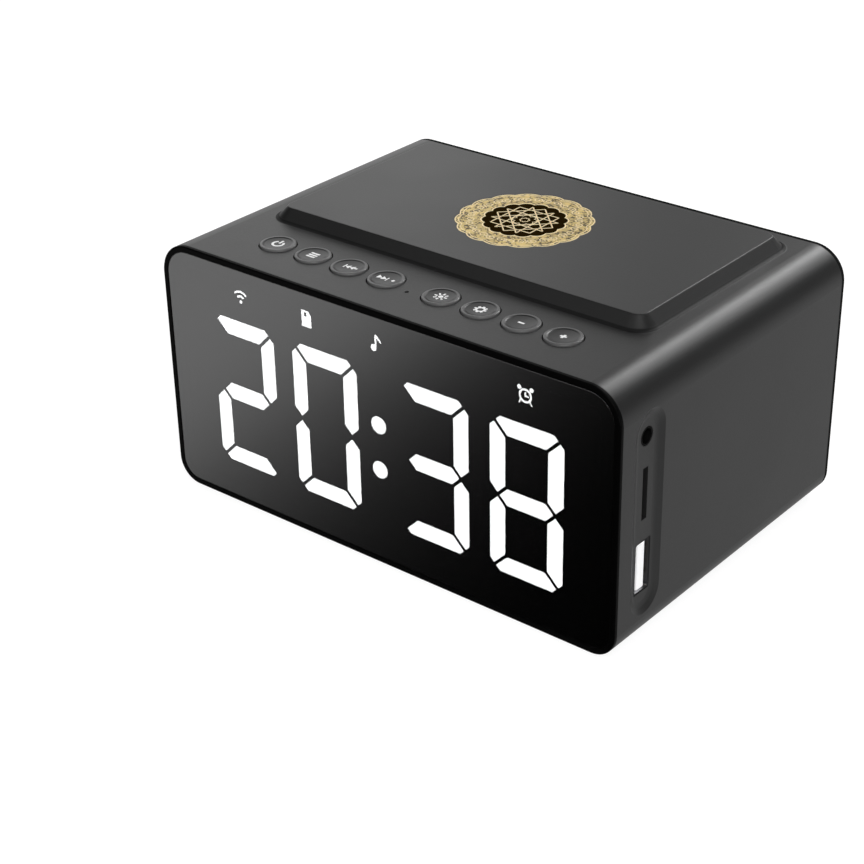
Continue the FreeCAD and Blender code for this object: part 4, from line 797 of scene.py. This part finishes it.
# Straight bars at one distance from the middle, which cross into a star.
def starBars(name, points, distance, half, low):
    size = medallionSizes
    shape = Shape(name + "Shape", Points=points, Distance=distance, Half=half, Width=size["bar"],
                  Low=low, Thickness=size["thickness"])
    thickness = shape.size("Thickness")
    stick = shape.node("GeometryNodeMeshCube", None,
                       {"Size": shape.vector(shape.size("Width"), shape.size("Half") * 2.0, thickness)})
    stick = shape.node("GeometryNodeTransform", None,
                       {"Geometry": stick,
                        "Translation": shape.vector(shape.size("Distance"), 0.0, 0.0)})
    turn = shape.node("GeometryNodeInputIndex") * (2 * math.pi) / shape.size("Points")
    posts = shape.node("GeometryNodePoints", None, {"Count": shape.size("Points")})
    posts = shape.moved(posts, shape.vector(middle[0], middle[1],
                                            shape.size("Low") + thickness * 0.5))
    bars = shape.node("GeometryNodeInstanceOnPoints", None,
                      {"Points": posts, "Instance": stick,
                       "Rotation": shape.vector(0.0, 0.0, turn)})
    shape.build(name, bars, finishes["medallionLine"])


def makeMedallion():
    size = medallionSizes
    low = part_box("medallion_ring")[1][2]
    for name, (radius, width, scallops, rise) in medallionLines.items():
        scallopRing("medallion_" + name, radius, width, scallops, rise, low)
    scrollRing("medallion_scrolls", low)
    for name, step in medallionStars.items():
        turn = math.pi * step / size["starPoints"]
        starBars("medallion_" + name, size["starPoints"], size["star"] * math.cos(turn),
                 size["star"] * math.sin(turn), low)
    print("stage: medallion ornament")


stageSizes = {
    "floorHalf": 2.5,
    "floorDiffuse": 0.8,
    "floorShare": 0.35,
    "floorWhite": 0.70,
    "backdropWhite": 0.60,
    "cardLow": (-0.4, -0.6),
    "cardHigh": (0.6, -0.0485),
    "cardLift": 0.0004,
    "cardMiddle": -0.0555,
    "cardWidth": 0.0201,
    "cardSlant": 0.119,
}


# A level rectangle of the stage.
def flatPiece(name, low, high, lift, material):
    corners = [(x, y, lift) for x, y in bar(low[0], low[1], high[0], high[1])]
    return meshPiece(name, corners, [(0, 1, 2, 3)], material)


# A bare material, with its graph and the socket that takes its surface.
def bareMaterial(name):
    material = bpy.data.materials.new(name)
    material.use_nodes = True
    tree = material.node_tree
    tree.nodes.remove(tree.nodes["Principled BSDF"])
    return material, Graph(tree), tree.nodes["Material Output"].inputs["Surface"]


# White to the camera and in reflections, with enough plain matt paper to hold the shadow.
def floorMaterial():
    size = stageSizes
    material, graph, surface = bareMaterial("floorPaper")
    paper = graph.node("ShaderNodeBsdfDiffuse", None, {"Color": grey(size["floorDiffuse"])})
    camera = graph.ray("Camera")
    level = camera * size["backdropWhite"] + size["floorWhite"]
    white = graph.node("ShaderNodeEmission", None, {"Color": grey(1.0), "Strength": level})
    seen = camera.calc("MAXIMUM", graph.ray("Glossy")).calc("MAXIMUM", graph.ray("Transmission"))
    share = seen * (1.0 - size["floorShare"])
    graph.feed(surface, graph.node("ShaderNodeMixShader", None, {0: share, 1: paper, 2: white}))
    return material


# A black card on the floor before the display, clear at its left end and with a soft change
# between. Only reflections see it, and it keeps the display dark towards the right.
def cardMaterial():
    size = stageSizes
    material, graph, surface = bareMaterial("blackCard")
    x, y, z = graph.axes(graph.node("ShaderNodeTexCoord", None, None, "Object"))
    steps = (x - y * size["cardSlant"] - size["cardMiddle"]) / size["cardWidth"]
    cover = 1.0 / (1.0 + (0.0 - steps).calc("EXPONENT"))
    black = graph.node("ShaderNodeBsdfDiffuse", None, {"Color": grey(0.0)})
    clear = graph.node("ShaderNodeBsdfTransparent")
    graph.feed(surface, graph.node("ShaderNodeMixShader", None, {0: cover, 1: clear, 2: black}))
    return material


def makeStage():
    size = stageSizes
    half = size["floorHalf"]
    floor = flatPiece("floor", (-half, -half), (half, half), 0.0, floorMaterial())
    card = flatPiece("blackCard", size["cardLow"], size["cardHigh"], size["cardLift"],
                     cardMaterial())
    for ray in ("camera", "diffuse", "shadow", "transmission", "volume_scatter"):
        setattr(card, "visible_" + ray, False)
    print("stage: floor and black card")


worldSizes = {
    "glow": 0.155,
    "glowNear": 0.1,
    "glowFar": 0.8,
    "glowTop": 0.7,
    "glowFull": 0.35,
    "dim": 0.015,
}


# A low glow behind the clock and a dim rest, and plain white to the camera.
def makeWorld():
    size = worldSizes
    world = bpy.data.worlds.new("studio")
    scene.world = world
    world.use_nodes = True
    graph = Graph(world.node_tree)
    background = world.node_tree.nodes["Background"]
    x, y, z = graph.axes(graph.node("ShaderNodeTexCoord", None, None, "Generated"))
    behind = y.within(size["glowNear"], size["glowFar"])
    low = z.within(size["glowTop"], size["glowFull"])
    light = behind * low * size["glow"] + size["dim"]
    graph.feed(background.inputs["Color"], grey(1.0))
    graph.feed(background.inputs["Strength"], light + graph.ray("Camera") * (1.0 - light))


# Each lamp: its place, the place it points at, its width and height, and its level. The
# strips behind the clock make the highlight along its rounded right edge.
lamps = {
    "stripLeft": ((-0.05, 0.76, 0.60), (0.06, 0.0, 0.06), (0.16, 0.40), 13.0),
    "stripMiddle": ((0.09, 0.70, 0.63), (0.06, 0.0, 0.06), (0.16, 0.40), 5.2),
    "stripRight": ((0.24, 0.68, 0.60), (0.06, 0.0, 0.06), (0.16, 0.40), 5.0),
    "stripFar": ((-0.20, 0.78, 0.52), (0.05, 0.0, 0.06), (0.22, 0.35), 1.0),
    "lowBack": ((-0.36, 0.82, 0.40), (0.0, 0.0, 0.06), (0.40, 0.30), 0.3),
    "backLeft": ((-0.98, 0.66, 0.50), (-0.05, 0.0, 0.06), (0.90, 0.80), 1.4),
    "right": ((0.95, 0.25, 0.45), (0.0, 0.0, 0.03), (0.7, 0.6), 0.2),
    "front": ((-0.25, -1.05, 0.85), (0.0, 0.0, 0.05), (1.2, 0.8), 0.96),
    "frontRight": ((0.85, -0.85, 0.80), (0.0, 0.0, 0.05), (1.0, 0.8), 7.2),
}


def makeLamps():
    for name, (place, aim, face, level) in lamps.items():
        data = bpy.data.lights.new(name, "AREA")
        data.shape = "RECTANGLE"
        data.size, data.size_y = face
        data.energy = level * math.pi * data.size * data.size_y
        lamp = bpy.data.objects.new(name, data)
        lamp.location = place
        lamp.rotation_euler = (Vector(place) - Vector(aim)).to_track_quat("Z", "Y").to_euler()
        lamp.visible_camera = False
        scene.collection.objects.link(lamp)
    print("stage: world and", len(lamps), "lamps")


# The photograph's view, found from the outline of the clock.
cameraSizes = {
    "lens": 81.18,
    "target": (-0.0224, 0.0, 0.00883),
    "distance": 0.5094,
    "yaw": 39.928,
    "lift": 28.542,
    "roll": -1.1652,
}


def makeCamera():
    yaw, lift, roll = (math.radians(cameraSizes[key]) for key in ("yaw", "lift", "roll"))
    back = Vector((math.sin(yaw) * math.cos(lift), -math.cos(yaw) * math.cos(lift), math.sin(lift)))
    right = Vector((math.cos(yaw), math.sin(yaw), 0.0))
    up = back.cross(right)
    turnedRight = right * math.cos(roll) + up * math.sin(roll)
    turnedUp = up * math.cos(roll) - right * math.sin(roll)
    place = Vector(cameraSizes["target"]) + back * cameraSizes["distance"]
    data = bpy.data.cameras.new("camera")
    data.lens = cameraSizes["lens"]
    data.sensor_width = 36.0
    data.clip_start = 0.01
    camera = bpy.data.objects.new("camera", data)
    camera.matrix_world = Matrix((turnedRight, turnedUp, back)).transposed().to_4x4()
    camera.location = place
    scene.collection.objects.link(camera)
    scene.camera = camera
    print("stage: camera")


makeCamera()
finishNodes()
makeMarks()
makeMedallion()
makeStage()
makeWorld()
makeLamps()
